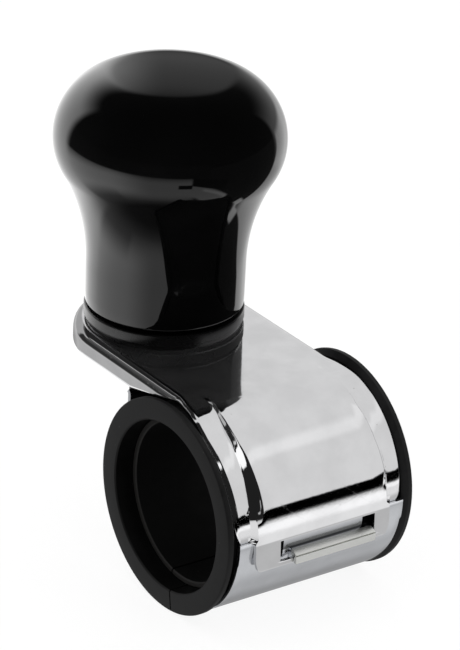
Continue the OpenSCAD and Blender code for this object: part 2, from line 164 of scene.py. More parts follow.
class Bench:
    """The modelling steps that the pieces share, done with Blender's own operators."""

    @staticmethod
    def clear() -> None:
        """Deselects every object, so that the next operator acts on one piece alone."""
        bpy.ops.object.select_all(action="DESELECT")

    @staticmethod
    def take(piece: Piece, *others: Piece) -> None:
        """Selects some pieces and nothing else.

        Args:
            piece: The piece that becomes the active one.
            *others: The other pieces.
        """
        Bench.clear()
        for each in (piece, *others):
            each.select_set(True)
        bpy.context.view_layer.objects.active = piece

    @staticmethod
    def on_all(step: Callable[..., set[str]], **options: object) -> None:
        """Runs one mesh operator on everything that is in edit mode."""
        bpy.ops.mesh.select_all(action="SELECT")
        step(**options)

    @staticmethod
    def pick(piece: Piece, part: Part, test: Callable[[Vector], bool]) -> int:
        """Selects faces or corners of the mesh in edit mode by their place.

        Args:
            piece: The piece in edit mode.
            part: What is picked.
            test: Says whether the face or corner at a place, in millimetres, is taken.

        Returns:
            How many are selected.
        """
        bpy.ops.mesh.select_mode(type=part.value)
        bpy.ops.mesh.select_all(action="DESELECT")
        mesh = bmesh.from_edit_mesh(piece.data)
        if part is Part.FACE:
            places = [(face, face.calc_center_median()) for face in mesh.faces]
        else:
            places = [(corner, corner.co) for corner in mesh.verts]
        taken = [each for each, place in places if test(place / MM)]
        for each in taken:
            each.select_set(True)
        mesh.select_flush_mode()
        bmesh.update_edit_mesh(piece.data)
        return len(taken)

    @staticmethod
    def line(name: str, points: Sequence[Triple]) -> Piece:
        """Draws a line of edges by extruding one vertex from point to point.

        Args:
            name: The piece's name.
            points: The line's points, in millimetres.

        Returns:
            The piece, left in edit mode with its last vertex selected.
        """
        Bench.clear()
        bpy.ops.mesh.primitive_plane_add(size=MM, location=(0, 0, 0))
        piece = bpy.context.object
        piece.name = name
        piece.data.name = name
        bpy.ops.object.mode_set(mode="EDIT")
        bpy.ops.mesh.select_mode(type="VERT")
        Bench.on_all(bpy.ops.mesh.merge, type="CENTER")
        bpy.ops.transform.translate(value=Vector(points[0]) * MM)
        for here, there in zip(points, points[1:]):
            step = (Vector(there) - Vector(here)) * MM
            bpy.ops.mesh.extrude_vertices_move(TRANSFORM_OT_translate={"value": step})
        return piece

    @staticmethod
    def sheet(name: str, columns: int, rows: int, keep: Callable[[int, int], bool],
              place: Callable[[int, int], Vector]) -> Piece:
        """Cuts a grid's outline and openings, and then lays every corner of it in place.

        Args:
            name: The piece's name.
            columns: How many corners lie side by side.
            rows: How many corners lie one behind the other.
            keep: Says whether the face that starts at a column and row stays.
            place: Gives the place of the corner at a column and row, in millimetres.

        Returns:
            The piece, in object mode, as a sheet without thickness.
        """
        Bench.clear()
        bpy.ops.mesh.primitive_grid_add(x_subdivisions=columns - 1, y_subdivisions=rows - 1, size=2 * MM)
        piece = bpy.context.object
        piece.name = name
        piece.data.name = name

        def index(point: Vector) -> Pair:
            """Turns a place on the flat grid, in millimetres, into a column and a row."""
            return (point.x + 1) / 2 * (columns - 1), (point.y + 1) / 2 * (rows - 1)

        bpy.ops.object.mode_set(mode="EDIT")
        if Bench.pick(piece, Part.FACE, lambda middle: not keep(*(int(number) for number in index(middle)))):
            bpy.ops.mesh.delete(type="FACE")
        bpy.ops.object.mode_set(mode="OBJECT")
        for vertex in piece.data.vertices:
            column, row = index(vertex.co / MM)
            vertex.co = place(round(column), round(row)) * MM
        bpy.ops.object.mode_set(mode="EDIT")
        Bench.on_all(bpy.ops.mesh.remove_doubles, threshold=MERGE * MM)
        Bench.on_all(bpy.ops.mesh.dissolve_degenerate, threshold=MERGE * MM)
        bpy.ops.object.mode_set(mode="OBJECT")
        return piece

    @staticmethod
    def thicken(piece: Piece, thickness: float) -> None:
        """Gives a sheet its thickness on the inner side.

        Args:
            piece: The sheet.
            thickness: The wall's thickness in millimetres.
        """
        wall = piece.modifiers.new("wall", "SOLIDIFY")
        wall.thickness = thickness * MM
        wall.offset = -1
        wall.use_even_offset = True
        Bench.apply(piece)

    @staticmethod
    def ease_edges(piece: Piece, width: float, angle: float, segments: int = 2) -> None:
        """Rounds the sharp edges of a piece.

        Args:
            piece: The piece.
            width: The width of the rounding in millimetres.
            angle: Edges with a sharper bend than this, in degrees, are rounded.
            segments: How many faces lie across the rounding.
        """
        bevel = piece.modifiers.new("eased", "BEVEL")
        bevel.width = width * MM
        bevel.segments = segments
        bevel.limit_method = "ANGLE"
        bevel.angle_limit = math.radians(angle)
        bevel.use_clamp_overlap = True
        bevel.miter_outer = "MITER_ARC"
        Bench.apply(piece)

    @staticmethod
    def apply(piece: Piece) -> None:
        """Applies every modifier of a piece.

        Args:
            piece: The piece.
        """
        Bench.take(piece)
        for name in [modifier.name for modifier in piece.modifiers]:
            bpy.ops.object.modifier_apply(modifier=name)

    @staticmethod
    def cut(piece: Piece, tool: Piece) -> None:
        """Cuts a shape out of a piece.

        Args:
            piece: The piece.
            tool: The shape, which is removed afterwards.
        """
        boolean = piece.modifiers.new("cut", "BOOLEAN")
        boolean.operation = "DIFFERENCE"
        boolean.solver = "EXACT"
        boolean.object = tool
        Bench.apply(piece)
        bpy.data.objects.remove(tool)

    @staticmethod
    def join(piece: Piece, *others: Piece) -> None:
        """Joins other pieces into one piece."""
        Bench.take(piece, *others)
        bpy.ops.object.join()

    @staticmethod
    def smooth(piece: Piece, angle: float) -> None:
        """Puts a piece's place into its mesh and shades it smooth.

        Args:
            piece: The piece.
            angle: Edges with a sharper bend than this, in degrees, stay sharp.
        """
        Bench.take(piece)
        bpy.ops.object.transform_apply(location=True, rotation=True, scale=True)
        bpy.ops.object.shade_smooth_by_angle(angle=math.radians(angle))


@dataclass
class Turned:
    """A piece that is spun from an outline.

    Attributes:
        name: The piece's name.
        outline: Points as (radius, distance along the axis), in millimetres.
        axis: The line it is spun about.
        centre: Where that line stands, in millimetres.
        steps: How many faces lie around it.
        start: The angle of the first face around the axis, in degrees.
        sweep: The angle it is spun through, in degrees. Less than 360 leaves a slit.
        smooth: The bend up to which it is shaded smooth, in degrees.
    """

    name: str
    outline: list[Pair]
    axis: Axis = Axis.UP
    centre: Pair = (0.0, 0.0)
    steps: int = 96
    start: float = 0.0
    sweep: float = 360.0
    smooth: float = 32.0

    def spot(self, radius: float, along: float) -> Triple:
        """Works out the place of an outline point at the first angle.

        Args:
            radius: Its distance from the axis.
            along: Its distance along the axis.

        Returns:
            Its place, in millimetres.
        """
        turn = math.radians(self.start)
        place = self.centre[0] + radius * math.cos(turn), self.centre[1] + radius * math.sin(turn)
        return (*place, along) if self.axis is Axis.UP else (along, *place)

    def build(self) -> Piece:
        """Draws the outline, spins it, and closes its seam or the two sides of its slit.

        Returns:
            The finished piece.
        """
        piece = Bench.line(self.name, [self.spot(*point) for point in self.outline])
        if self.axis is Axis.UP:
            centre, direction = Vector((*self.centre, 0)), (0, 0, 1)
        else:
            centre, direction = Vector((0, *self.centre)), (1, 0, 0)
        Bench.on_all(bpy.ops.mesh.spin, steps=self.steps, angle=math.radians(self.sweep), center=centre * MM,
                     axis=direction)
        Bench.on_all(bpy.ops.mesh.remove_doubles, threshold=MERGE * MM)
        if self.sweep < 360:
            Bench.on_all(bpy.ops.mesh.fill_holes, sides=0)
        Bench.on_all(bpy.ops.mesh.normals_make_consistent, inside=False)
        bpy.ops.object.mode_set(mode="OBJECT")
        Bench.smooth(piece, self.smooth)
        return piece


@dataclass
class Nodes:
    """Builds a node tree.

    Attributes:
        tree: The tree that the nodes go into.
    """

    tree: bpy.types.NodeTree

    def add(self, kind: str, options: dict[str, object] | None = None, **sockets: object) -> bpy.types.Node:
        """Adds a node.

        Args:
            kind: The node's type, without its leading words ShaderNode.
            options: Settings of the node itself.
            **sockets: Values or sockets for its inputs, named in lower case with low lines.

        Returns:
            The node.
        """
        full = kind if kind.startswith("NodeGroup") else "ShaderNode" + kind
        node = self.tree.nodes.new(full)
        for name, value in (options or {}).items():
            setattr(node, name, value)
        for name, value in sockets.items():
            self.set(node, name, value)
        return node

    def set(self, node: bpy.types.Node, name: str, value: object) -> None:
        """Links a socket to an input, or sets the input's value.

        Args:
            node: The node.
            name: The input's name in lower case with low lines, or in_ and its number.
            value: A socket or a value.
        """
        if name.startswith("in_"):
            socket = node.inputs[int(name[3:])]
        else:
            label = name.replace("_", " ")
            socket = next(entry for entry in node.inputs if entry.name.lower() == label and entry.enabled)
        if isinstance(value, Socket):
            self.tree.links.new(value, socket)
        else:
            socket.default_value = value

    def math(self, operation: str, *values: object) -> Socket:
        """Adds a Math node.

        Args:
            operation: What it does.
            *values: Its inputs.

        Returns:
            Its result.
        """
        node = self.add("Math", {"operation": operation})
        for number, value in enumerate(values):
            self.set(node, f"in_{number}", value)
        return node.outputs[0]

    def product(self, first: Socket, *others: object) -> Socket:
        """Returns the product of some values."""
        return self.product(self.math("MULTIPLY", first, others[0]), *others[1:]) if others else first

    def remap(self, value: Socket, source: Sequence[object], target: Pair, soft: bool = True) -> Socket:
        """Maps a value from one range to another.

        Args:
            value: The value's socket.
            source: The range that it is read in.
            target: The range that it is given in.
            soft: Whether the change starts and ends softly.

        Returns:
            The result's socket.
        """
        node = self.add("MapRange", {"interpolation_type": "SMOOTHSTEP" if soft else "LINEAR"})
        for number, entry in enumerate((value, *source, *target)):
            self.set(node, f"in_{number}", entry)
        return node.outputs[0]

    def band(self, place: Socket, ends: Pair, target: Pair = (1, 0), soft: bool = True) -> Socket:
        """Maps a place in metres, read between two ends in millimetres, as remap does."""
        return self.remap(place, (ends[0] * MM, ends[1] * MM), target, soft)

    def blend(self, share: object, first: object, second: object) -> Socket:
        """Mixes two colours.

        Args:
            share: How much of the second colour shows.
            first: The first colour.
            second: The second colour.

        Returns:
            The mixed colour.
        """
        node = self.add("Mix", {"data_type": "RGBA"})
        for number, value in ((0, share), (6, first), (7, second)):
            self.set(node, f"in_{number}", value)
        return node.outputs[2]

    def over(self, share: object, first: object, second: object) -> Socket:
        """Mixes two numbers.

        Args:
            share: How much of the second number shows.
            first: The first number.
            second: The second number.

        Returns:
            The mixed number.
        """
        node = self.add("Mix", {"data_type": "FLOAT"})
        for number, value in ((0, share), (2, first), (3, second)):
            self.set(node, f"in_{number}", value)
        return node.outputs[0]


class Groups:
    """The effects that several materials use, each built once as a shader node group."""

    TURNS: ClassVar = (0.4, 1.9, 2.7)

    @staticmethod
    def start(name: str, inputs: dict[str, float], output: str
              ) -> tuple[Nodes, bpy.types.Node, bpy.types.Node]:
        """Starts a group.

        Args:
            name: The group's name.
            inputs: Its number inputs with their usual values.
            output: The name of its number output.

        Returns:
            The group's builder, its input node and its output node.
        """
        group = bpy.data.node_groups.new(name, "ShaderNodeTree")
        group.interface.new_socket("Place", in_out="INPUT", socket_type="NodeSocketVector")
        for label, value in inputs.items():
            socket = group.interface.new_socket(label, in_out="INPUT", socket_type="NodeSocketFloat")
            socket.default_value = value
        group.interface.new_socket(output, in_out="OUTPUT", socket_type="NodeSocketFloat")
        nodes = Nodes(group)
        return nodes, nodes.add("NodeGroupInput"), nodes.add("NodeGroupOutput")

    @staticmethod
    def per_metre(nodes: Nodes, entry: bpy.types.Node, label: str) -> Socket:
        """Returns how often an input's size, in millimetres, fits into a metre."""
        return nodes.math("DIVIDE", 1.0 / MM, entry.outputs[label])

    @staticmethod
    def waves() -> None:
        """Builds the faint waves of a plated, polished or moulded surface, as a height in metres."""
        nodes, entry, result = Groups.start(
            "surface_waves", {"Broad size": 4.0, "Broad depth": 2.0, "Fine size": 0.8, "Fine depth": 0.5},
            "Height")
        heights = []
        for label, detail in (("Broad", 1.0), ("Fine", 2.0)):
            noise = nodes.add("TexNoise", vector=entry.outputs["Place"],
                              scale=Groups.per_metre(nodes, entry, f"{label} size"), detail=detail)
            heights.append(nodes.math("MULTIPLY", noise.outputs["Fac"], entry.outputs[f"{label} depth"]))
        nodes.set(result, "height", nodes.math("MULTIPLY", nodes.math("ADD", *heights), MICRON))

    @staticmethod
    def clouds() -> None:
        """Builds the broad, soft unevenness of a handled surface, as a mask."""
        nodes, entry, result = Groups.start("soft_clouds", {"Size": 8.0, "Contrast": 0.5}, "Mask")
        noise = nodes.add("TexNoise", vector=entry.outputs["Place"],
                          scale=Groups.per_metre(nodes, entry, "Size"), detail=4.0)
        half = nodes.math("MULTIPLY", entry.outputs["Contrast"], 0.5)
        ends = nodes.math("SUBTRACT", 0.5, half), nodes.math("ADD", 0.5, half)
        nodes.set(result, "mask", nodes.remap(noise.outputs["Fac"], ends, (0.0, 1.0)))

    @staticmethod
    def specks() -> None:
        """Builds scattered dust specks, as a mask."""
        nodes, entry, result = Groups.start(
            "dust_specks", {"Spacing": 2.0, "Size": 0.12, "Share": 0.3}, "Mask")
        cells = nodes.add("TexVoronoi", {"feature": "F1"}, vector=entry.outputs["Place"],
                          scale=Groups.per_metre(nodes, entry, "Spacing"))
        near = nodes.math("LESS_THAN", cells.outputs["Distance"], entry.outputs["Size"])
        tint = nodes.add("SeparateColor", color=cells.outputs["Color"])
        some = nodes.math("LESS_THAN", tint.outputs[0], entry.outputs["Share"])
        nodes.set(result, "mask", nodes.math("MULTIPLY", near, some))

    @staticmethod
    def scratches() -> None:
        """Builds fine, crossed handling scratches, as a mask."""
        nodes, entry, result = Groups.start("fine_scratches", {"Length": 9.0, "Width": 0.05}, "Mask")
        along, across = (Groups.per_metre(nodes, entry, label) for label in ("Length", "Width"))
        stretch = nodes.add("CombineXYZ", x=along, y=across, z=along)
        marks = []
        for turn in Groups.TURNS:
            mapping = nodes.add("Mapping", vector=entry.outputs["Place"],
                                rotation=(0.3 * turn, turn, 1.3 * turn))
            placed = nodes.add("VectorMath", {"operation": "MULTIPLY"}, in_0=mapping.outputs[0],
                               in_1=stretch.outputs[0])
            noise = nodes.add("TexNoise", vector=placed.outputs[0], scale=0.25, detail=0.0)
            marks.append(nodes.remap(noise.outputs["Fac"], (0.72, 0.78), (0.0, 1.0)))
        most = nodes.math("MAXIMUM", nodes.math("MAXIMUM", *marks[:2]), marks[2])
        nodes.set(result, "mask", most)


@dataclass(frozen=True)
class Finish:
    """What every material has.

    Attributes:
        name: The material's name.
        slot: The record's slot that it dresses.
        colour: Its base colour.
        roughness: Its plain roughness.
        light: The part of the studio that lights it.
    """

    light: ClassVar[Light] = Light.PLATED
    name: str
    slot: str
    colour: Triple
    roughness: float

    def start(self) -> tuple[bpy.types.Material, Nodes, bpy.types.Node, Socket]:
        """Starts the material.

        Returns:
            The material, its builder, its shader, and the surface's own place.
        """
        material = bpy.data.materials.new(self.name)
        material.use_nodes = True
        nodes = Nodes(material.node_tree)
        shader = material.node_tree.nodes["Principled BSDF"]
        shader.inputs["Base Color"].default_value = opaque(self.colour)
        shader.inputs["Roughness"].default_value = self.roughness
        place = nodes.add("TexCoord").outputs["Object"]
        return material, nodes, shader, place

    @staticmethod
    def group(nodes: Nodes, name: str, place: Socket, **values: float) -> Socket:
        """Places a shared effect in a material.

        Args:
            nodes: The material's builder.
            name: The group's name.
            place: The surface's own place.
            **values: The group's values in this material.

        Returns:
            What the group gives.
        """
        node = nodes.tree.nodes.new("ShaderNodeGroup")
        node.node_tree = bpy.data.node_groups[name]
        for label, value in ({"place": place} | values).items():
            nodes.set(node, label, value)
        return node.outputs[0]

    @staticmethod
    def relief(nodes: Nodes, shader: bpy.types.Node, height: Socket) -> None:
        """Turns a height in metres into the shader's normal."""
        bump = nodes.add("Bump", strength=1.0, distance=1.0, height=height)
        nodes.set(shader, "normal", bump.outputs[0])


@dataclass(frozen=True)
class Plating(Finish):
    """Bright plating on pressed steel, with faint waves, clouds and handling scratches.

    Attributes:
        DULLED: The share of its brightness in the cloudy places.
        LEVEL_FACES: The Z of the normal between which a face gets its dust film.
        WORN, HOOK_SHADE_TINT and SPECKS: The colours of the worn plating, of the painted shade behind the
            hook and of the dust specks.
        broad: The depth of the press waves in micrometres.
        fine: The depth of the fine ripple in micrometres.
        haze: How much rougher the cloudy places are.
        film: How much of a dust film lies on the faces that look up.
        mirrored_shade: Painted shade: the share of its brightness that shows when another piece mirrors it
            from afar.
        mirrored_shade_from: The distance in millimetres from which that painted shade counts.
        worn_y: The Y in millimetres between which the plating goes over from worn to bright.
        hook_shade: The share of the plating's colour that painted shade covers in the recess behind the hook.
        hook_shade_z: The Z in millimetres between which that painted shade thins out upwards.
        hook_shade_low_z: The Z between which it starts.
        hook_shade_x: The distances from the middle between which it ends at the sides.
        hook_shade_y: The Y between which it ends towards the back.
    """

    DULLED: ClassVar[float] = 0.9
    LEVEL_FACES: ClassVar[Pair] = (0.96, 0.995)
    WORN: ClassVar[Triple] = (0.77, 0.775, 0.75)
    HOOK_SHADE_TINT: ClassVar[Triple] = (0.03, 0.03, 0.03)
    SPECKS: ClassVar[Triple] = (0.25, 0.24, 0.22)
    broad: float = 3.0
    fine: float = 0.5
    haze: float = 0.012
    film: float = 0.055
    mirrored_shade: float = 0.1
    mirrored_shade_from: float = 8.0
    worn_y: Pair = (-1000.2, -1000.0)
    hook_shade: float = 0.0
    hook_shade_z: Pair = (-2.9, -1.2)
    hook_shade_low_z: Pair = (-3.45, -3.3)
    hook_shade_x: Pair = (11.2, 11.6)
    hook_shade_y: Pair = (-23.0, -22.8)

    def build(self) -> bpy.types.Material:
        """Builds the material.

        Returns:
            The material.
        """
        material, nodes, shader, place = self.start()
        clouds = self.group(nodes, "soft_clouds", place, size=7.0, contrast=0.5)
        marks = self.group(nodes, "fine_scratches", place, length=7.0, width=0.06)
        specks = self.group(nodes, "dust_specks", place, spacing=3.5, size=0.035, share=0.35)
        facing = nodes.add("SeparateXYZ", vector=nodes.add("TexCoord").outputs["Normal"])
        film = nodes.remap(facing.outputs["Z"], self.LEVEL_FACES, (0, self.film))
        dusty = nodes.math("MULTIPLY", film, nodes.remap(clouds, (0, 1), (0.7, 1.2), False))
        nodes.set(shader, "metallic", nodes.math("SUBTRACT", 1.0, dusty))
        part = nodes.add("SeparateXYZ", vector=place)
        worn = nodes.band(part.outputs["Y"], self.worn_y)
        tone = nodes.blend(clouds, opaque(self.colour), opaque(self.colour, self.DULLED))
        # Worn plating, then painted shade in the recess behind the hook, then dust specks.
        for mask, tint in ((worn, self.WORN), (self.hook_shade_mask(nodes, part), self.HOOK_SHADE_TINT), (specks, self.SPECKS)):
            tone = nodes.blend(mask, tone, opaque(tint))
        # Painted shade: where another piece mirrors the plating from afar, its colour is darkened and it
        # turns fully rough.
        path = nodes.add("LightPath")
        far = nodes.math("GREATER_THAN", path.outputs["Ray Length"], self.mirrored_shade_from * MM)
        mirrored = nodes.math("MULTIPLY", path.outputs["Is Glossy Ray"], far)
        nodes.set(shader, "base_color", nodes.blend(mirrored, tone, opaque(self.colour, self.mirrored_shade)))
        rough = nodes.remap(clouds, (0, 1), (self.roughness, self.roughness + self.haze), False)
        for mask, rougher in ((marks, 0.05), (worn, 0.25)):
            rough = nodes.math("ADD", rough, nodes.math("MULTIPLY", mask, rougher))
        nodes.set(shader, "roughness", nodes.math("MAXIMUM", rough, mirrored))
        waves = self.group(nodes, "surface_waves", place, broad_size=5.0, broad_depth=self.broad,
                           fine_size=0.8, fine_depth=self.fine)
        cuts = nodes.math("MULTIPLY", marks, -0.15 * MICRON)
        self.relief(nodes, shader, nodes.math("ADD", waves, cuts))
        return material

    def hook_shade_mask(self, nodes: Nodes, part: bpy.types.Node) -> Socket:
        """Builds the mask of the painted shade in the recess behind the hook.

        Args:
            nodes: The material's builder.
            part: The surface's own place, parted into its three measures.

        Returns:
            The mask.
        """
        side = nodes.math("ABSOLUTE", part.outputs["X"])
        return nodes.product(
            nodes.band(part.outputs["Z"], self.hook_shade_z, (self.hook_shade, 0), False),
            nodes.band(part.outputs["Z"], self.hook_shade_low_z, (0, 1)),
            nodes.band(side, self.hook_shade_x),
            nodes.band(part.outputs["Y"], self.hook_shade_y))


@dataclass(frozen=True)
class Rubber(Finish):
    """Moulded rubber with a fine grain, scuffed lighter places and a little dust.

    Attributes:
        BORE_SHADE_R: The radii in millimetres between which a face leaves the painted shade of the bore.
        RIM and SPECKS: The colours of the lighter rim at the ends and of the dust specks.
        scuffed: The colour of the scuffed places.
        bore_shade: Painted shade: the share of its colour that is left on the faces of the bore.
        rim_x: The X in millimetres between which it goes over into the lighter rim.
        grain: The depth of the grain in micrometres.
    """

    light: ClassVar[Light] = Light.SOFT
    BORE_SHADE_R: ClassVar[Pair] = (18.95, 19.25)
    RIM: ClassVar[Triple] = (0.06, 0.058, 0.056)
    SPECKS: ClassVar[Triple] = (0.16, 0.16, 0.155)
    scuffed: Triple = (0.05, 0.05, 0.052)
    bore_shade: float = 0.2
    rim_x: Pair = (1000.0, 1000.1)
    grain: float = 14.0

    def build(self) -> bpy.types.Material:
        """Builds the material.

        Returns:
            The material.
        """
        material, nodes, shader, place = self.start()
        shader.inputs["Specular IOR Level"].default_value = 0.4
        scuffs = self.group(nodes, "soft_clouds", place, size=3.5, contrast=0.45)
        specks = self.group(nodes, "dust_specks", place, spacing=2.2, size=0.045, share=0.25)
        tone = nodes.blend(scuffs, opaque(self.colour), opaque(self.scuffed))
        part = nodes.add("SeparateXYZ", vector=place)
        across = nodes.add("CombineXYZ", y=part.outputs["Y"], z=part.outputs["Z"])
        radius = nodes.add("VectorMath", {"operation": "LENGTH"}, in_0=across.outputs[0]).outputs["Value"]
        rim = nodes.band(nodes.math("ABSOLUTE", part.outputs["X"]), self.rim_x, (0, 1))
        # Painted shade: faces inside the bore's radius, the whole liner among them, keep only a share of
        # their colour.
        tone = nodes.blend(nodes.band(radius, self.BORE_SHADE_R), tone, opaque(self.colour, self.bore_shade))
        tone = nodes.blend(rim, tone, opaque(self.RIM))
        nodes.set(shader, "base_color", nodes.blend(specks, tone, opaque(self.SPECKS)))
        rough = nodes.remap(scuffs, (0, 1), (self.roughness, self.roughness + 0.12), False)
        nodes.set(shader, "roughness", rough)
        waves = self.group(nodes, "surface_waves", place, broad_size=1.6, broad_depth=self.grain,
                           fine_size=0.25, fine_depth=self.grain / 5)
        self.relief(nodes, shader, waves)
        return material


@dataclass(frozen=True)
class Polished(Finish):
    """Polished or satin black moulding, with faint ripple, fine scratches and a trace of dust.

    Attributes:
        LIFT: How much lighter the cloudy places are.
        SPECKS: The colour of the dust specks.
        ripple: The depth of the broad ripple in micrometres.
        dust: How much of the dust shows.
    """

    light: ClassVar[Light] = Light.GLOSSY
    LIFT: ClassVar[float] = 0.004
    SPECKS: ClassVar[Triple] = (0.2, 0.2, 0.19)
    ripple: float = 2.0
    dust: float = 0.5

    def build(self) -> bpy.types.Material:
        """Builds the material.

        Returns:
            The material.
        """
        material, nodes, shader, place = self.start()
        shader.inputs["IOR"].default_value = 1.5
        clouds = self.group(nodes, "soft_clouds", place, size=9.0, contrast=0.5)
        marks = self.group(nodes, "fine_scratches", place, length=8.0, width=0.06)
        specks = self.group(nodes, "dust_specks", place, spacing=4.0, size=0.02, share=0.3)
        lighter = tuple(part + self.LIFT for part in self.colour)
        tone = nodes.blend(clouds, opaque(self.colour), opaque(lighter))
        shown = nodes.math("MULTIPLY", specks, self.dust)
        nodes.set(shader, "base_color", nodes.blend(shown, tone, opaque(self.SPECKS)))
        plain = nodes.remap(clouds, (0, 1), (self.roughness, self.roughness * 1.3), False)
        nodes.set(shader, "roughness", nodes.math("ADD", plain, nodes.math("MULTIPLY", marks, 0.03)))
        waves = self.group(nodes, "surface_waves", place, broad_size=9.0, broad_depth=self.ripple,
                           fine_size=1.5, fine_depth=self.ripple / 25)
        self.relief(nodes, shader, waves)
        return material


@dataclass(frozen=True)
class BareMetal(Finish):
    """Turned, zinc-plated, blackened or sintered metal of the fasteners and bearings.

    Attributes:
        stain: The colour of its darker, stained places.
        texture: The depth of its grain in micrometres.
    """

    stain: Triple = (0.3, 0.3, 0.29)
    texture: float = 4.0

    def build(self) -> bpy.types.Material:
        """Builds the material.

        Returns:
            The material.
        """
        material, nodes, shader, place = self.start()
        shader.inputs["Metallic"].default_value = 1.0
        clouds = self.group(nodes, "soft_clouds", place, size=1.8, contrast=0.6)
        marks = self.group(nodes, "fine_scratches", place, length=3.0, width=0.08)
        nodes.set(shader, "base_color", nodes.blend(clouds, opaque(self.colour), opaque(self.stain)))
        rough = nodes.remap(clouds, (0, 1), (self.roughness, self.roughness + 0.15), False)
        nodes.set(shader, "roughness", nodes.math("ADD", rough, nodes.math("MULTIPLY", marks, 0.1)))
        waves = self.group(nodes, "surface_waves", place, broad_size=0.8, broad_depth=self.texture,
                           fine_size=0.2, fine_depth=self.texture / 8)
        self.relief(nodes, shader, waves)
        return material


class Palette:
    """Every finish of the object, by the record's slot."""

    FINISHES = (
        Plating("bright_plating", "bracket_chrome", (0.8, 0.8, 0.81), 0.04, fine=3.0),
        Plating("duller_plating", "jaw_plating", (0.715, 0.73, 0.76), 0.09, broad=4.0, fine=0.8, haze=0.05,
                worn_y=(-23.75, -23.55), hook_shade=0.8),
        Rubber("sleeve_rubber", "sleeve_rubber", (0.014, 0.014, 0.0145), 0.42, scuffed=(0.03, 0.03, 0.031)),
        Rubber("liner_rubber", "liner_rubber", (0.01, 0.0097, 0.0095), 0.55, scuffed=(0.02, 0.019, 0.018),
               rim_x=(19.1, 19.2)),
        BareMetal("zinc_steel", "zinc_steel", (0.6, 0.6, 0.58), 0.32, stain=(0.42, 0.41, 0.38)),
        BareMetal("black_steel", "black_steel", (0.06, 0.06, 0.062), 0.36, stain=(0.035, 0.034, 0.034)),
        BareMetal("spindle_steel", "spindle_steel", (0.62, 0.62, 0.63), 0.22, stain=(0.5, 0.5, 0.5)),
        Polished("collar_black", "collar_black", (0.012, 0.012, 0.0125), 0.24, ripple=1.0, dust=0.8),
        Polished("dark_nylon", "dark_nylon", (0.03, 0.03, 0.03), 0.4, ripple=1.0, dust=0.4),
        BareMetal("bearing_bronze", "bearing_bronze", (0.62, 0.44, 0.2), 0.35, stain=(0.4, 0.27, 0.12)),
        Polished("grip_gloss_black", "grip_gloss_black", (0.003, 0.003, 0.0032), 0.035),
    )

    def __init__(self) -> None:
        """Builds the shared effects and then every material."""
        for build in (Groups.waves, Groups.clouds, Groups.specks, Groups.scratches):
            build()
        self.materials = {finish.slot: finish.build() for finish in self.FINISHES}
        self.lights = {finish.slot: finish.light for finish in self.FINISHES}
        self.lit: dict[Light, list[Piece]] = {light: [] for light in Light}

    def dress(self, piece: Piece, slot: str) -> None:
        """Gives a piece a finish, in place of what it has, and notes what lights it.

        Args:
            piece: The piece.
            slot: The record's slot of the finish.
        """
        material = self.materials[slot]
        self.lit[self.lights[slot]].append(piece)
        if piece.material_slots:
            for entry in piece.material_slots:
                entry.material = material
        else:
            piece.data.materials.append(material)


@dataclass
class Assembly:
    """What every sub-assembly has: the finishes, the shared sizes, and a way to hand in a finished piece.

    Every size of a sub-assembly is in millimetres and every angle in degrees.

    Attributes:
        palette: The finishes.
        grip_y: The distance from the bore's axis to the grip's axis.
        plate_top: The height of the plate's upper face.
        sheet: The thickness of the pressed sheets.
        sheet_edge: The width of the rounding on their edges.
    """

    palette: Palette
    grip_y: float = 36.8
    plate_top: float = 23.7
    sheet: float = 0.9
    sheet_edge: float = 0.14

    def hand_in(self, piece: Piece, body: str, slot: str, *nodes: str) -> None:
        """Dresses a finished piece and ties it to its body.

        Args:
            piece: The finished piece.
            body: The body that it rides on.
            slot: The record's slot that it takes its finish from.
            *nodes: The CAD nodes that it stands for.
        """
        self.palette.dress(piece, slot)
        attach(piece, body)
        if nodes:
            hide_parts(*nodes)
        log.info("%s: %d faces on %s", piece.name, len(piece.data.polygons), body)


class Zone(Enum):
    """The strips of the bracket's sheet, from its middle line outwards."""

    PANEL = "panel"
    SLOPE = "slope"
    SLIT = "slit"
    RIM = "rim"
    EDGE = "edge"
    SKIRT = "skirt"


@dataclass(frozen=True)
class Station:
    """One cross-section of the bracket's sheet.

    Attributes:
        crest_line: The panel's crest in Y and Z.
        rim_line: The rims in Y and Z.
        outward: The outward direction in Y and Z.
        crest: Half the width of the panel's crest.
        foot: Half the width at the slope's foot.
        edges: Half the width at which the left and the right edge start to turn down.
        half: Half the width over the edges.
        slope_drop: How far the slope falls from the crest.
        gap: How far outside the slope's foot the rims start.
        fold: How far the edges are turned down, in degrees.
        bent: The share of an edge that is curved. The rest is straight.
        skirt: The length of the turned-down skirt.
        turn: The angle about the grip's axis in the plate's round end, in degrees.
    """

    crest_line: Pair
    rim_line: Pair
    outward: Pair
    crest: float
    foot: float
    edges: Pair
    half: float
    slope_drop: float
    gap: float
    fold: float = 0.0
    bent: float = 1.0
    skirt: float = 0.0
    turn: float = 0.0

    def turned_edge(self, start: float, part: float) -> Pair:
        """Works out a place on a turned-down edge.

        Args:
            start: Half the width at which this edge starts.
            part: The share of the edge's length up to the place.

        Returns:
            Half the width there, and how low the place lies.
        """
        width = self.half - start
        bend = math.radians(self.fold)
        if bend < 0.01:
            return start + width * part, 0.0
        curved, straight = min(part, self.bent), max(part - self.bent, 0.0)
        radius = self.bent / bend
        across = radius * math.sin(curved / radius) + straight * math.cos(bend)
        down = radius * (1 - math.cos(curved / radius)) + straight * math.sin(bend)
        full = radius * math.sin(bend) + (1 - self.bent) * math.cos(bend)
        return start + width * across / full, width * down / full


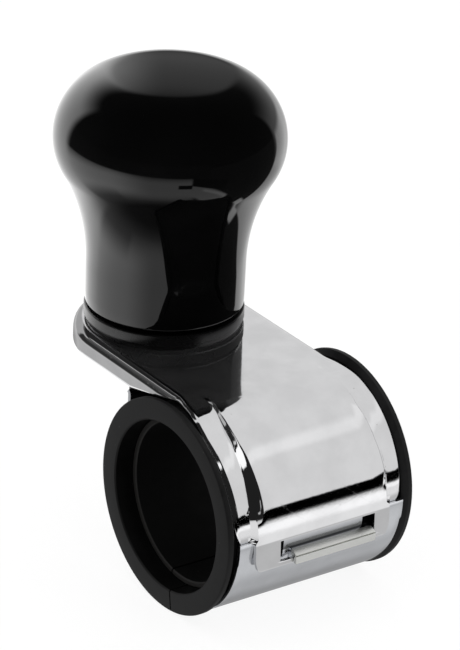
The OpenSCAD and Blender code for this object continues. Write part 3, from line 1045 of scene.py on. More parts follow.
@dataclass
class UpperBracket(Assembly):
    """The plated bracket: one pressed sheet with the plate, the band, the raised panel and the tongue.

    The rows of a table are (angle above the bore's axis, size). A pair of widths is (left, right), and a
    pair that something changes over is (start, end).

    Attributes:
        panel_r: The radius of the raised panel's outer face.
        rim_r: The radius of the two rims beside it.
        rim_rise: The angles between which the rims rise to the plate.
        edge_r: The radius of the plate's turned-down edge.
        plate_half: Half the plate's width.
        skirt_low: How low the turned-down edge hangs below the plate's top.
        skirt_y: The Y between which that edge grows to its full depth.
        tongue_low: The height of the tongue's end.
        tongue_half: Half its width.
        tongue_corner: The radius of its lower corners.
        tongue_taper: The height and the width of its narrowing towards the end.
        tongue_leans: Its lean at the bore's height, in degrees, and below it, as a slope.
        tongue_heights: The heights of the cross-sections through it.
        arc_start: The angle at which the tongue goes over into the band.
        arc_angles: The angles of the cross-sections through the band.
        split_angle: The angle above which the slope is whole.
        slope_end_z: The height at which it ends, where the tongue parts from the rims.
        slope_soft: The share of the slope that starts softly.
        groove: The depth of the groove at the slope's foot.
        foot_gap: How far outside the slope's foot the rims start, beside the band and beside the tongue.
        foot_inset: How much narrower the tongue is, above and below its step.
        inset_z: The height of that step.
        right_slope: The width of the right-hand slope.
        end_trim: The share by which the plate's round end is narrower than a half circle.
        trim_turn: The angle from the plate's side over which that starts.
        window_x: The sides of the latch's window.
        window_z: Its lower and upper edge.
        rim_end_z: The height of the rims' ends.
        plate_crest: Half the width of the panel's crest where it goes over into the plate.
        plate_foot: Half the width at the slope's foot there.
        settle_y: The Y between which these two change.
        drop_end_y: The Y behind which the slope has no height.
        near_steps: The distances from the crease to the first cross-sections of the plate.
        panel_columns: The places of the corners across the panel, from its middle.
        crest_rows: Half the width of the panel's crest.
        foot_rows: Half the width at the slope's foot.
        half_rows: Half the width over the edges.
        flat_rows: Half the width at which the left edge starts to turn down.
        fold_rows: How far the edges are turned down, in degrees.
        bent_rows: The share of an edge that is curved.
        right_rows: How much of the left edge's width the right edge has.
        columns: The zone and the place of each column of corners, from the middle outwards.
        stations: The cross-sections, from the tongue's end to the round end.
    """

    panel_r: float = 24.0
    rim_r: float = 22.8
    rim_rise: Pair = (62.0, 98.0)
    edge_r: float = 2.5
    plate_half: float = 20.2
    skirt_low: float = 4.7
    skirt_y: Pair = (3.0, 19.5)
    tongue_low: float = -6.2
    tongue_half: float = 17.6
    tongue_corner: float = 0.6
    tongue_taper: Pair = (2.4, 0.8)
    tongue_leans: Pair = (7.0, 0.03)
    tongue_heights: tuple[float, ...] = (
        -6.2, -6.0, -5.75, -5.45, -5.2, -4.7, -4.2, -3.2, -2.2, -1.2, -0.4, -0.15, 0.1, 0.25, 0.7, 1.2, 1.8,
        2.4, 3.0, 3.6, 4.2, 4.7)
    arc_start: float = 12.0
    arc_angles: tuple[float, ...] = (
        12, 13.5, 15, 16.5, 18, 20, 22, *range(24, 60, 2), *(60 + 1.25 * step for step in range(16)), 80.3)
    split_angle: float = 22.0
    slope_end_z: float = 4.3
    slope_soft: float = 0.4
    groove: float = 0.07
    foot_gap: Pair = (0.28, 1.1)
    foot_inset: Pair = (1.0, 0.3)
    inset_z: Pair = (0.7, 1.2)
    right_slope: float = 1.0
    end_trim: float = 0.032
    trim_turn: float = 40.0
    window_x: Pair = (-11.0, 13.4)
    window_z: Pair = (-5.2, -0.4)
    rim_end_z: Pair = (0.7, 0.25)
    plate_crest: Pair = (14.55, 13.9)
    plate_foot: Pair = (14.85, 15.2)
    settle_y: Pair = (-3.78, 2.22)
    drop_end_y: float = 4.0
    near_steps: tuple[float, ...] = (0.25, 0.7, 1.2, 1.8, 2.4, 3.0, 3.6, 4.3, 5.2, 6.2)
    panel_columns: tuple[float, ...] = (0.0, 2.75, 5.5, 8.25, 11.0, 12.2, 13.4)
    crest_rows: tuple[Pair, ...] = (
        (0, 14.0), (10, 14.2), (20, 14.4), (29, 14.55), (34, 14.75), (40, 14.9), (46, 15.0), (52, 15.3),
        (60, 15.4), (67, 15.3), (75, 15.0), (80, 14.6))
    foot_rows: tuple[Pair, ...] = (
        (10, 17.6), (19, 17.6), (25, 17.4), (31, 17.25), (36, 17.0), (43, 16.9), (50, 16.7), (56, 16.3),
        (65, 16.1), (70, 15.85), (75, 15.5), (78, 15.2), (80, 14.9))
    half_rows: tuple[Pair, ...] = (
        (0.6, 19.8), (1.3, 20.1), (3, 20.5), (6.5, 21.0), (11, 21.3), (15.3, 21.45), (23, 21.5), (62, 21.5),
        (72, 21.15), (80, 20.7), (90, 20.1), (97.2, 19.62))
    flat_rows: tuple[Pair, ...] = (
        (0.6, 19.3), (3, 19.9), (8, 20.3), (15, 20.35), (21, 20.4), (32, 20.5), (43, 20.65), (61, 20.65),
        (68, 20.35), (75, 19.85), (82, 19.1), (90, 18.45), (97.2, 17.7))
    fold_rows: tuple[Pair, ...] = (
        (3, 0), (8, 20), (14, 32), (20, 35), (66, 35), (78, 38), (90, 45), (97.2, 50.2))
    bent_rows: tuple[Pair, ...] = ((62, 0.3), (90, 1.0))
    right_rows: tuple[Pair, ...] = ((60, 0.4), (97, 1.0))
    columns: list[tuple[Zone, float]] = field(default_factory=list)
    stations: list[Station] = field(default_factory=list)

    @property
    def crease(self) -> float:
        """The angle at which the plate cuts the panel's arc, in degrees."""
        return math.degrees(math.asin(self.plate_top / self.panel_r))

    def rim_radius(self, angle: float) -> float:
        """Returns the rims' radius at an angle, which rises to the plate near the top."""
        flat = self.plate_top / math.sin(math.radians(max(angle, self.rim_rise[0])))
        return mix(self.rim_r, flat, rise(angle, *self.rim_rise))

    def tongue_y(self, z: float) -> float:
        """Works out the place of the tongue's face.

        Args:
            z: A height below the band's arc.

        Returns:
            The Y of the outer face there.
        """
        if z < 0:
            return self.tongue_y(0.0) + self.tongue_leans[1] * z
        start = math.radians(self.arc_start)
        top_y, top_z = -self.panel_r * math.cos(start), self.panel_r * math.sin(start)
        upper, lower = math.tan(start), math.tan(math.radians(self.tongue_leans[0]))
        return top_y - (lower * (top_z - z) + (upper - lower) / top_z * (top_z * top_z - z * z) / 2)

    def edges(self, angle: float) -> Pair:
        """Returns half the width at which the left and the right edge start to turn down at an angle."""
        left, half = between(angle, self.flat_rows), between(angle, self.half_rows)
        return left, half - (half - left) * between(angle, self.right_rows)

    def slope_share(self, z: float) -> float:
        """Returns how much of the slope is left at a height, where the tongue parts from the rims."""
        return rise(z, self.slope_end_z, self.panel_r * math.sin(math.radians(self.split_angle)))

    def section(self, angle: float, share: float, **own: object) -> Station:
        """Builds a cross-section from the tables.

        Args:
            angle: The angle above the bore's axis.
            share: How much of the slope is left there.
            **own: The station's own values, which go before the tables' values.

        Returns:
            The station.
        """
        sizes = {
            "crest": between(angle, self.crest_rows),
            "edges": self.edges(angle),
            "half": between(angle, self.half_rows),
            "gap": mix(self.foot_gap[1], self.foot_gap[0], share),
            "fold": between(angle, self.fold_rows),
            "bent": between(angle, self.bent_rows),
        }
        return Station(**(sizes | own))

    def tongue_station(self, z: float) -> Station:
        """Works out a cross-section of the tongue and the rims beside it.

        Args:
            z: Its height.

        Returns:
            The station.
        """
        step = 0.05
        slope = (self.tongue_y(z + step) - self.tongue_y(z - step)) / (2 * step)
        size = math.hypot(1, slope)
        up = z - self.tongue_low
        round_off = self.tongue_taper[1] * min(max(1 - up / self.tongue_taper[0], 0.0), 1.0)
        if up < self.tongue_corner:
            side = self.tongue_corner - up
            round_off += self.tongue_corner - math.sqrt(max(self.tongue_corner ** 2 - side ** 2, 0))
        rim_z = z * self.rim_r / self.panel_r
        share = self.slope_share(z)
        inset = mix(self.foot_inset[1], self.foot_inset[0], rise(z, *self.inset_z)) * (1 - share)
        return self.section(
            math.degrees(math.asin(z / self.panel_r)), share,
            crest_line=(self.tongue_y(z), z),
            rim_line=(-math.sqrt(self.rim_r ** 2 - rim_z ** 2), rim_z),
            outward=(-1 / size, slope / size),
            foot=self.tongue_half - round_off - inset,
            slope_drop=(self.panel_r - self.rim_r) * share)

    def arc_station(self, angle: float) -> Station:
        """Works out a cross-section of the band.

        Args:
            angle: Its angle above the bore's axis.

        Returns:
            The station.
        """
        turn = math.radians(angle)
        outward = (-math.cos(turn), math.sin(turn))
        rim = self.rim_radius(angle)
        share = self.slope_share(self.panel_r * outward[1])
        return self.section(
            angle, share,
            crest_line=(self.panel_r * outward[0], self.panel_r * outward[1]),
            rim_line=(rim * outward[0], rim * outward[1]),
            outward=outward,
            foot=between(angle, self.foot_rows) - self.foot_inset[0] * (1 - share),
            slope_drop=(self.panel_r - rim) * share)

    def plate_station(self, y: float, turn: float = 0.0) -> Station:
        """Works out a cross-section of the plate.

        Args:
            y: Its distance from the bore's axis.
            turn: Its angle about the grip's axis, in the round end.

        Returns:
            The station.
        """
        angle = math.degrees(math.atan2(self.plate_top, -y))
        rim_z = self.rim_radius(angle) * math.sin(math.radians(angle))
        drop = self.plate_top - rim_z if y < self.drop_end_y else 0.0
        settle = rise(y, *self.settle_y)
        own = {}
        if y > self.skirt_y[0]:
            share = min((y - self.skirt_y[0]) / (self.skirt_y[1] - self.skirt_y[0]), 1)
            down = mix(self.sheet, self.skirt_low, share)
            bend = math.acos(max(1 - down / self.edge_r, 0))
            start = self.plate_half - self.edge_r
            own = {"fold": math.degrees(bend), "edges": (start, start),
                   "half": start + self.edge_r * math.sin(bend), "skirt": max(down - self.edge_r, 0)}
        return self.section(
            angle, 1.0,
            crest_line=(y, self.plate_top),
            rim_line=(y, self.plate_top - drop),
            outward=(0.0, 1.0),
            crest=mix(*self.plate_crest, settle),
            foot=mix(*self.plate_foot, settle),
            slope_drop=drop,
            turn=turn,
            **own)

    def lay_out(self) -> None:
        """Lists the columns of one side and the stations from the tongue's end to the round end."""
        self.columns = [(Zone.PANEL, x) for x in self.panel_columns]
        self.columns += [(Zone.SLOPE, step / 10) for step in range(11)]
        self.columns += [(Zone.SLIT, 0.0)]
        for zone, steps in ((Zone.RIM, 3), (Zone.EDGE, 8), (Zone.SKIRT, 4)):
            self.columns += [(zone, step / steps) for step in range(1, steps + 1)]
        self.stations = [self.tongue_station(z) for z in self.tongue_heights]
        self.stations += [self.arc_station(angle) for angle in (*self.arc_angles, self.crease)]
        crease_y = -self.panel_r * math.cos(math.radians(self.crease))
        near = [crease_y + step for step in self.near_steps]
        far = [mix(near[-1], self.skirt_y[1], step / 12) for step in range(1, 13)]
        last = [mix(self.skirt_y[1], self.grip_y, step / 6) for step in range(1, 7)]
        self.stations += [self.plate_station(y) for y in (*near, *far, *last)]
        self.stations += [self.plate_station(self.grip_y, turn) for turn in range(5, 95, 5)]

    def corner(self, column: int, row: int) -> Vector:
        """Works out the place of one corner of the sheet.

        Args:
            column: Its column, from the left.
            row: Its row, from the tongue's end.

        Returns:
            Its place, in millimetres.
        """
        middle = len(self.columns) - 1
        side = LEFT if column < middle else RIGHT
        zone, share = self.columns[abs(column - middle)]
        at = self.stations[row]
        line, drop, x = at.crest_line, 0.0, share
        if zone is Zone.SLOPE:
            crest = max(at.crest, at.foot - self.right_slope) if side == RIGHT else at.crest
            x = mix(crest, at.foot, share)
            drop = at.slope_drop * ramp(share, self.slope_soft)
            if share == 1.0:
                drop += self.groove * ease(at.slope_drop)
        elif zone is not Zone.PANEL:
            line = at.rim_line
            start = at.edges[side == RIGHT]
            x = mix(at.foot + at.gap, start, share if zone is Zone.RIM else 0.0)
            if zone in (Zone.EDGE, Zone.SKIRT):
                x, drop = at.turned_edge(start, share if zone is Zone.EDGE else 1.0)
            if zone is Zone.SKIRT:
                drop += at.skirt * share
        y = line[0] - at.outward[0] * drop
        z = line[1] - at.outward[1] * drop
        turn = math.radians(at.turn)
        x *= 1 - self.end_trim * rise(at.turn, 0.0, self.trim_turn)
        return Vector((side * x * math.cos(turn), y + x * math.sin(turn), z))

    def stays(self, column: int, row: int) -> bool:
        """Says whether a face is part of the sheet.

        Args:
            column: The column that it follows.
            row: The row that it follows.

        Returns:
            Whether it stays.
        """
        middle = len(self.columns) - 1
        inner = column - middle if column >= middle else middle - 1 - column
        following = self.columns[inner + 1][0]
        at, after = self.stations[row], self.stations[row + 1]
        rim_end = self.rim_end_z[column >= middle]
        if following not in (Zone.PANEL, Zone.SLOPE) and at.crest_line[1] < rim_end - SLACK:
            return False
        if following is Zone.SKIRT and max(at.skirt, after.skirt) == 0:
            return False
        low = self.corner(column, row)
        high = self.corner(column + 1, row + 1)
        within_x = low.x > self.window_x[0] - SLACK and high.x < self.window_x[1] + SLACK
        within_z = low.z > self.window_z[0] - SLACK and high.z < self.window_z[1] + SLACK
        return not (within_x and within_z and low.y < 0)

    def build(self) -> None:
        """Models and dresses the bracket."""
        self.lay_out()
        piece = Bench.sheet("bracket_sheet", 2 * len(self.columns) - 1, len(self.stations), self.stays,
                            self.corner)
        Bench.thicken(piece, self.sheet)
        Bench.ease_edges(piece, self.sheet_edge, angle=60)
        Bench.smooth(piece, angle=30)
        self.hand_in(piece, "bracket", "bracket_chrome", "upper_bracket")


@dataclass
class LowerJaw(Assembly):
    """The plated jaw: a curved wall with two front ears, a hook, and the ear that the screws pull.

    A pair of widths or heights is (left, right), and a pair that something changes over is (start, end).

    Attributes:
        inner_r: The radius of the curved wall's inner face.
        half: Half the wall's width at the bottom.
        front_half: Half the width over the front ears.
        wall_half: Half the width below them.
        wall_z: The heights between which that width goes over into the bottom's.
        front_top: How far the front ears rise above the bore's axis.
        back_half: Half the width of the back wall.
        back_z: The heights between which the bottom's width goes over into the back wall's.
        front_low: The height of the front ears' lower corner.
        ear_step_z: The height of the one row of corners between that and the notches' ends.
        back_angle: The angle above the bore's axis at which the curve ends at the back.
        back_steps: The heights of the corners on the straight back wall.
        ear_under: The height of the screw ear's lower face.
        bend_in: The inner radius of the bend into the screw ear.
        ear_half: Half the screw ear's width.
        ear_rows_y: The Y of the corners along the screw ear, from its edge.
        ear_rows: How many rows of faces, from the screw ear's edge, are only as wide as that ear.
        screw_x: The distance of the screws from the middle.
        screw_y: Their Y.
        lobe_r: The radius of the ear's round ends.
        slot_r: The radius of the screws' slots.
        slot_travel: How far the slots are drawn out.
        tab_x: The sides of the tab that carries the hook.
        notch_x: The outer sides of the notches beside the tab.
        notch_low: The height of the notches' ends.
        hook_x: The sides of the hook.
        hook_profile: The hook's outline in Y and Z.
        hook_edge: The width of the rounding on the hook's edges.
        fold_place: The Y and Z of the fine groove at the hook's fold.
        fold_groove: The length of the tool that cuts it, longer than the hook, its depth and its height.
        path: The corners of the outer face in Y and Z, from the ear's edge to the front's top.
        across: The corners' places across the jaw.
    """

    inner_r: float = 22.5
    half: float = 20.6
    front_half: Pair = (20.7, 21.55)
    wall_half: Pair = (20.85, 21.2)
    wall_z: Pair = (-16.1, -23.1)
    front_top: Pair = (0.6, 0.15)
    back_half: float = 20.15
    back_z: Pair = (-10.0, 0.0)
    front_low: float = -4.1
    ear_step_z: float = -4.6
    back_angle: float = 31.0
    back_steps: Pair = (15.5, 14.0)
    ear_under: float = 17.6
    bend_in: float = 0.7
    ear_half: float = 15.5
    ear_rows_y: tuple[float, ...] = (28.19, 26.0, 24.2, 22.4)
    ear_rows: int = 6
    screw_x: float = 9.8
    screw_y: float = 27.39
    lobe_r: float = 5.5
    slot_r: float = 2.8
    slot_travel: float = 1.4
    tab_x: Pair = (-9.5, 10.9)
    notch_x: Pair = (-11.8, 14.2)
    notch_low: float = -5.0
    hook_x: Pair = (-7.7, 13.1)
    hook_profile: tuple[Pair, ...] = (
        (-22.45, -6.2), (-23.0, -6.2), (-23.25, -4.95), (-24.7, -5.05), (-24.7, -6.3), (-25.55, -6.3),
        (-25.55, -4.55), (-25.5, -4.35), (-25.3, -4.22), (-23.4, -3.32), (-22.45, -3.28))
    hook_edge: float = 0.16
    fold_place: Pair = (-25.5, -4.42)
    fold_groove: Triple = (30.0, 0.4, 0.26)
    path: list[Pair] = field(default_factory=list)
    across: list[float] = field(default_factory=list)

    @property
    def outer_r(self) -> float:
        """The radius of the curved wall's outer face."""
        return self.inner_r + self.sheet

    def lay_out(self) -> None:
        """Lists the columns, and the path of the outer face from the ear's edge to the front's top."""
        wall_y = self.inner_r * math.cos(math.radians(self.back_angle)) + self.sheet
        bend = (wall_y + self.bend_in, self.ear_under - self.bend_in)
        self.path = [(y, self.ear_under) for y in self.ear_rows_y]
        self.path += arc(bend, self.bend_in, start=90, end=180, steps=6)
        self.path += [(wall_y, z) for z in self.back_steps]
        heights = (self.notch_low, self.ear_step_z, self.front_low)
        ends = [math.degrees(math.asin(-z / self.outer_r)) for z in heights]
        for sign, angles in ((1, [self.back_angle, *range(27, -90, -3)]),
                             (-1, [*range(90, 18, -3), 18, 16, 14, *ends, 8, 6, 4, 2, 0])):
            for turn in (math.radians(angle) for angle in angles):
                self.path.append((sign * self.outer_r * math.cos(turn), sign * self.outer_r * math.sin(turn)))
        lobes = [self.screw_x + self.lobe_r * math.sin(math.radians(step)) for step in range(-90, 91, 15)]
        side = {0.0, 1.5, 3.0, 4.5, *(round(x, 3) for x in lobes)}
        side.update(mix(self.ear_half, self.half, step / 4) for step in range(1, 5))
        self.across = sorted({*side, *(-x for x in side), *self.tab_x, *self.notch_x})

    def half_at(self, y: float, z: float, right: bool) -> float:
        """Works out how wide the sheet is.

        Args:
            y: A place on the path.
            z: Its height.
            right: Whether the right-hand side is meant.

        Returns:
            Half the width there.
        """
        if y >= 0:
            return mix(self.half, self.back_half, rise(z, *self.back_z))
        if z > self.front_low - SLACK:
            return self.front_half[right]
        return mix(self.wall_half[right], self.half, rise(z, *self.wall_z))

    def corner(self, column: int, row: int) -> Vector:
        """Works out the place of one corner of the sheet.

        Args:
            column: Its column, from the left.
            row: Its row, from the screw ear's edge.

        Returns:
            Its place, in millimetres.
        """
        x = self.across[column]
        y, z = self.path[row]
        off = abs(abs(x) - self.screw_x)
        if row == 0 and abs(x) <= self.ear_half and off < self.lobe_r:
            y = max(y, self.screw_y + math.sqrt(self.lobe_r ** 2 - off ** 2))
        if abs(x) > self.ear_half:
            right = x > 0
            share = (abs(x) - self.ear_half) / (self.half - self.ear_half)
            x *= mix(1.0, self.half_at(y, z, right) / self.half, share)
            if row == len(self.path) - 1:
                z += self.front_top[right]
        return Vector((x, y, z))

    def stays(self, column: int, row: int) -> bool:
        """Says whether a face is part of the sheet.

        Args:
            column: The column that it follows.
            row: The row that it follows.

        Returns:
            Whether it stays.
        """
        x = (self.across[column] + self.across[column + 1]) / 2
        y, z = self.path[row]
        if row < self.ear_rows and abs(x) > self.ear_half:
            return False
        notched = self.notch_x[0] < x < self.tab_x[0] or self.tab_x[1] < x < self.notch_x[1]
        return not (notched and y < 0 and z > self.notch_low - SLACK)

    def slot_tool(self, side: int) -> Piece:
        """Models the shape of one screw's slot: a round bar, drawn out towards the bore.

        Args:
            side: LEFT or RIGHT.

        Returns:
            The shape.
        """
        Bench.clear()
        bpy.ops.mesh.primitive_cylinder_add(
            vertices=48, radius=self.slot_r * MM, depth=4 * MM,
            location=(side * self.screw_x * MM, self.screw_y * MM, (self.ear_under + self.sheet / 2) * MM))
        tool = bpy.context.object
        bpy.ops.object.transform_apply(location=True)
        bpy.ops.object.mode_set(mode="EDIT")
        Bench.pick(tool, Part.CORNER, lambda place: place.y < self.screw_y - SLACK)
        bpy.ops.transform.translate(value=(0, -self.slot_travel * MM, 0))
        bpy.ops.object.mode_set(mode="OBJECT")
        return tool

    def hook(self) -> Piece:
        """Models the hook: a shelf that rests on the tongue's crossbar, with a lip in front.

        Returns:
            The hook.
        """
        start, end = self.hook_x
        piece = Bench.line("jaw_hook", [(start, *point) for point in self.hook_profile])
        Bench.on_all(bpy.ops.mesh.edge_face_add)
        Bench.on_all(bpy.ops.mesh.extrude_region_move,
                     TRANSFORM_OT_translate={"value": ((end - start) * MM, 0, 0)})
        Bench.on_all(bpy.ops.mesh.normals_make_consistent, inside=False)
        bpy.ops.object.mode_set(mode="OBJECT")
        Bench.ease_edges(piece, self.hook_edge, angle=50, segments=3)
        Bench.clear()
        length, depth, height = self.fold_groove
        bpy.ops.mesh.primitive_cube_add(size=MM, location=Vector((0, *self.fold_place)) * MM,
                                        scale=(length, 2 * depth, height))
        Bench.cut(piece, bpy.context.object)
        return piece

    def build(self) -> None:
        """Models and dresses the jaw."""
        self.lay_out()
        piece = Bench.sheet("jaw_sheet", len(self.across), len(self.path), self.stays, self.corner)
        Bench.thicken(piece, self.sheet)
        for side in (LEFT, RIGHT):
            Bench.cut(piece, self.slot_tool(side))
        Bench.ease_edges(piece, self.sheet_edge, angle=40)
        Bench.join(piece, self.hook())
        Bench.smooth(piece, angle=30)
        self.hand_in(piece, "jaw", "jaw_plating", "lower_jaw")


@dataclass
class RimSleeve(Assembly):
    """The split rubber sleeve with its two flanges, and the thin liner in its bore.

    Attributes:
        inner_r: The radius of the sleeve's bore.
        tube_r: The radius of the sleeve between its flanges.
        flange_r: The radius of the flanges.
        half: Half the sleeve's length.
        flange_in: The distance of a flange's inner face from the middle.
        slopes: The height and the width of the slope on that face.
        edge: The radius of the flanges' outer edge.
        chamfer: The width of the sleeve's other chamfers.
        bore_r: The radius of the liner's bore, which holds the wheel's rim.
        liner_r: The radius of the liner.
        liner_half: Half its length.
        liner_chamfer: The width of its chamfers.
        slit: The width of the slits.
        sleeve_slit: The angle of the sleeve's slit, below the front.
        liner_slit: The angle of the liner's slit.
    """

    inner_r: float = 18.9
    tube_r: float = 21.4
    flange_r: float = 23.75
    half: float = 23.85
    flange_in: float = 21.65
    slopes: Pair = (1.3, 1.0)
    edge: float = 0.4
    chamfer: float = 0.3
    bore_r: float = 17.5
    liner_r: float = 18.8
    liner_half: float = 19.4
    liner_chamfer: float = 0.25
    slit: float = 0.4
    sleeve_slit: float = 80.0
    liner_slit: float = 97.0

    def ring(self, name: str, outline: list[Pair], slit_angle: float, radius: float) -> Piece:
        """Models a ring with a slit.

        Args:
            name: The piece's name.
            outline: Its outline as (radius, distance along the bore).
            slit_angle: The angle of its slit.
            radius: The radius at which the slit has its width.

        Returns:
            The finished ring.
        """
        missing = math.degrees(self.slit / radius)
        return Turned(name, outline, Axis.BORE, steps=160, start=180 + slit_angle + missing / 2,
                      sweep=360 - missing).build()

    def build(self) -> None:
        """Models and dresses the sleeve and the liner."""
        edge, cut = self.edge, self.chamfer
        flange = [
            (self.inner_r, self.half - cut),
            (self.inner_r + cut, self.half),
            (self.flange_r - edge, self.half),
            *arc((self.flange_r - edge, self.half - edge), edge, 90, 0, 3)[1:],
            (self.flange_r, self.flange_in + self.slopes[1]),
            (self.flange_r - self.slopes[0], self.flange_in),
            (self.tube_r + cut, self.flange_in),
            (self.tube_r, self.flange_in - cut)]
        outline = flange + [(radius, -along) for radius, along in reversed(flange)] + [flange[0]]
        sleeve = self.ring("rubber_sleeve_moulding", outline, self.sleeve_slit, self.tube_r)
        self.hand_in(sleeve, "bracket", "sleeve_rubber", "rubber_sleeve")
        end, cut = self.liner_half, self.liner_chamfer
        corners = [(self.bore_r, end - cut), (self.bore_r + cut, end), (self.liner_r - cut, end),
                   (self.liner_r, end - cut)]
        outline = corners + [(radius, -along) for radius, along in reversed(corners)] + [corners[0]]
        liner = self.ring("liner_moulding", outline, self.liner_slit, self.bore_r)
        self.hand_in(liner, "bracket", "liner_rubber", "sleeve_liner")


@dataclass
class Grip(Assembly):
    """The glossy grip, which turns on the spindle.

    Attributes:
        foot_z: The height of its foot.
        top_z: The height of its top.
        foot_r: The radius of its foot.
        foot_edge: The radius of the foot's outer edge.
        waist_r: Its least radius.
        bulge_r: The radius of the bulge's outline.
        bulge_centre: The centre of that outline, as (distance from the axis, height).
        hollow_r: The radius of the hollow outline between the waist and the bulge.
        bore_r: The radius of its bore.
        bore_top: The height at which the bore ends.
        bore_edges: The width of the bore's chamfer at its top and at its foot.
    """

    foot_z: float = 28.1
    top_z: float = 81.3
    foot_r: float = 17.35
    foot_edge: float = 0.5
    waist_r: float = 17.45
    bulge_r: float = 14.5
    bulge_centre: Pair = (10.7, 66.2)
    hollow_r: float = 42.7
    bore_r: float = 9.0
    bore_top: float = 70.0
    bore_edges: Pair = (0.3, 0.5)

    def outline(self) -> list[Pair]:
        """Works out the outline from the bore's top, down through the foot and up to the grip's top.

        Returns:
            The points, as (distance from the axis, height).
        """
        out, up = self.bulge_centre
        hollow_x = self.waist_r + self.hollow_r
        rise_up = math.sqrt((self.hollow_r + self.bulge_r) ** 2 - (hollow_x - out) ** 2)
        hollow = (hollow_x, up - rise_up)
        lean = math.degrees(math.atan2(rise_up, hollow_x - out))
        drop = self.top_z - up
        dome_r = (out ** 2 + drop ** 2 - self.bulge_r ** 2) / (2 * (drop - self.bulge_r))
        dome_z = self.top_z - dome_r
        tangent = math.degrees(math.atan2(up - dome_z, out))
        top_edge, low_edge = self.bore_edges
        foot_top = self.foot_z + self.foot_edge
        points = [(0.0, self.bore_top), (self.bore_r - top_edge, self.bore_top),
                  (self.bore_r, self.bore_top - top_edge), (self.bore_r, self.foot_z + low_edge),
                  (self.bore_r + low_edge, self.foot_z)]
        points += arc((self.foot_r - self.foot_edge, foot_top), self.foot_edge, -90, 0, 4)
        points += [(mix(self.foot_r, self.waist_r, step / 4), mix(foot_top, hollow[1], step / 4))
                   for step in (1, 2, 3)]
        points += arc(hollow, self.hollow_r, 180, 180 - lean, 22)
        points += arc(self.bulge_centre, self.bulge_r, -lean, tangent, 40)[1:]
        points += arc((0.0, dome_z), dome_r, tangent, 90, 12)[1:]
        return points

    def build(self) -> None:
        """Models and dresses the grip."""
        piece = Turned("grip_moulding", self.outline(), centre=(0.0, self.grip_y), steps=160).build()
        self.hand_in(piece, "knob", "grip_gloss_black", "knob_grip")


@dataclass
class Collar(Assembly):
    """The fixed collar under the grip and the thin washer that it stands on.

    Attributes:
        washer_top: The height of the washer's upper face.
        collar_top: The height of the collar's upper face.
        washer_r: The washer's radius.
        collar_r: The collar's radius.
        hole_r: The radius of the hole for the spindle.
        hole_edge: The width of the chamfer at the hole's top.
        groove_r: The inner and outer radius of the groove around the collar's upper face.
        groove_side: The width of the groove's sloping sides.
    """

    washer_top: float = 24.7
    collar_top: float = 27.3
    washer_r: float = 17.0
    collar_r: float = 17.5
    hole_r: float = 4.1
    hole_edge: float = 0.2
    groove_r: Pair = (12.4, 13.2)
    groove_side: float = 0.2

    def disc(self, name: str, radius: float, low: float, high: float, edge: float, groove: float) -> None:
        """Models and dresses one flat ring with rounded edges.

        Args:
            name: The CAD node that it stands for.
            radius: Its outer radius.
            low: The height of its lower face.
            high: The height of its upper face.
            edge: The radius of its outer edges.
            groove: How deep a groove runs around its upper face.
        """
        points = [(self.hole_r, low), (radius - edge / 2, low), (radius, low + edge / 2)]
        points += arc((radius - edge, high - edge), edge, start=0, end=90, steps=5)
        if groove:
            inner, outer = self.groove_r
            points += [(outer, high), (outer - self.groove_side, high - groove),
                       (inner + self.groove_side, high - groove), (inner, high)]
        points += [(self.hole_r + self.hole_edge, high), (self.hole_r, high - self.hole_edge),
                   (self.hole_r, low)]
        piece = Turned(f"{name}_ring", points, centre=(0.0, self.grip_y), steps=128).build()
        self.hand_in(piece, "bracket", "collar_black", name)

    def build(self) -> None:
        """Models the washer and the collar."""
        self.disc("base_washer", self.washer_r, self.plate_top, self.washer_top, 0.25, 0.0)
        self.disc("base_collar", self.collar_r, self.washer_top, self.collar_top, 0.4, 0.3)


@dataclass
class Fasteners(Assembly):
    """The screws, nuts, washers, spindle and bearings, whose CAD solids stay and get their finishes."""

    PAIRED: ClassVar = {
        "weld_nut": "zinc_steel", "clamp_screw": "black_steel", "screw_spring_washer": "zinc_steel",
        "screw_flat_washer": "zinc_steel"}
    SINGLE: ClassVar = {
        "spindle": "spindle_steel", "spindle_spring_washer": "zinc_steel", "spindle_nut": "zinc_steel",
        "running_washer": "dark_nylon", "head_thrust_washer": "bearing_bronze",
        "upper_bush": "bearing_bronze", "bush_spacer": "spindle_steel", "lower_bush": "bearing_bronze",
        "bore_circlip": "black_steel"}

    def build(self) -> None:
        """Dresses the CAD nodes that stay."""
        paired = {f"{name}_{side}": slot for name, slot in self.PAIRED.items() for side in ("left", "right")}
        for name, slot in (paired | self.SINGLE).items():
            self.palette.dress(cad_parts[name], slot)
            log.info("%s: dressed as %s", name, slot)


@dataclass(frozen=True)
class SoftPanel:
    """A soft-edged patch of light or shade on a studio dome.

    Attributes:
        level: Its brightness, where 1 is white.
        side: Its middle around the object, in degrees from the front towards the right.
        height: Its middle above the horizon, in degrees.
        width: Half its width in degrees.
        rise: Half its height in degrees.
        feather: The width of its soft edges in degrees.
        fade: The width of its soft upper and lower edge in degrees, where they differ from the others.
        lean: How many degrees it rises for each degree to the right.
    """

    level: float
    side: float
    height: float
    width: float
    rise: float
    feather: float = 6.0
    fade: float = 0.0
    lean: float = 0.0


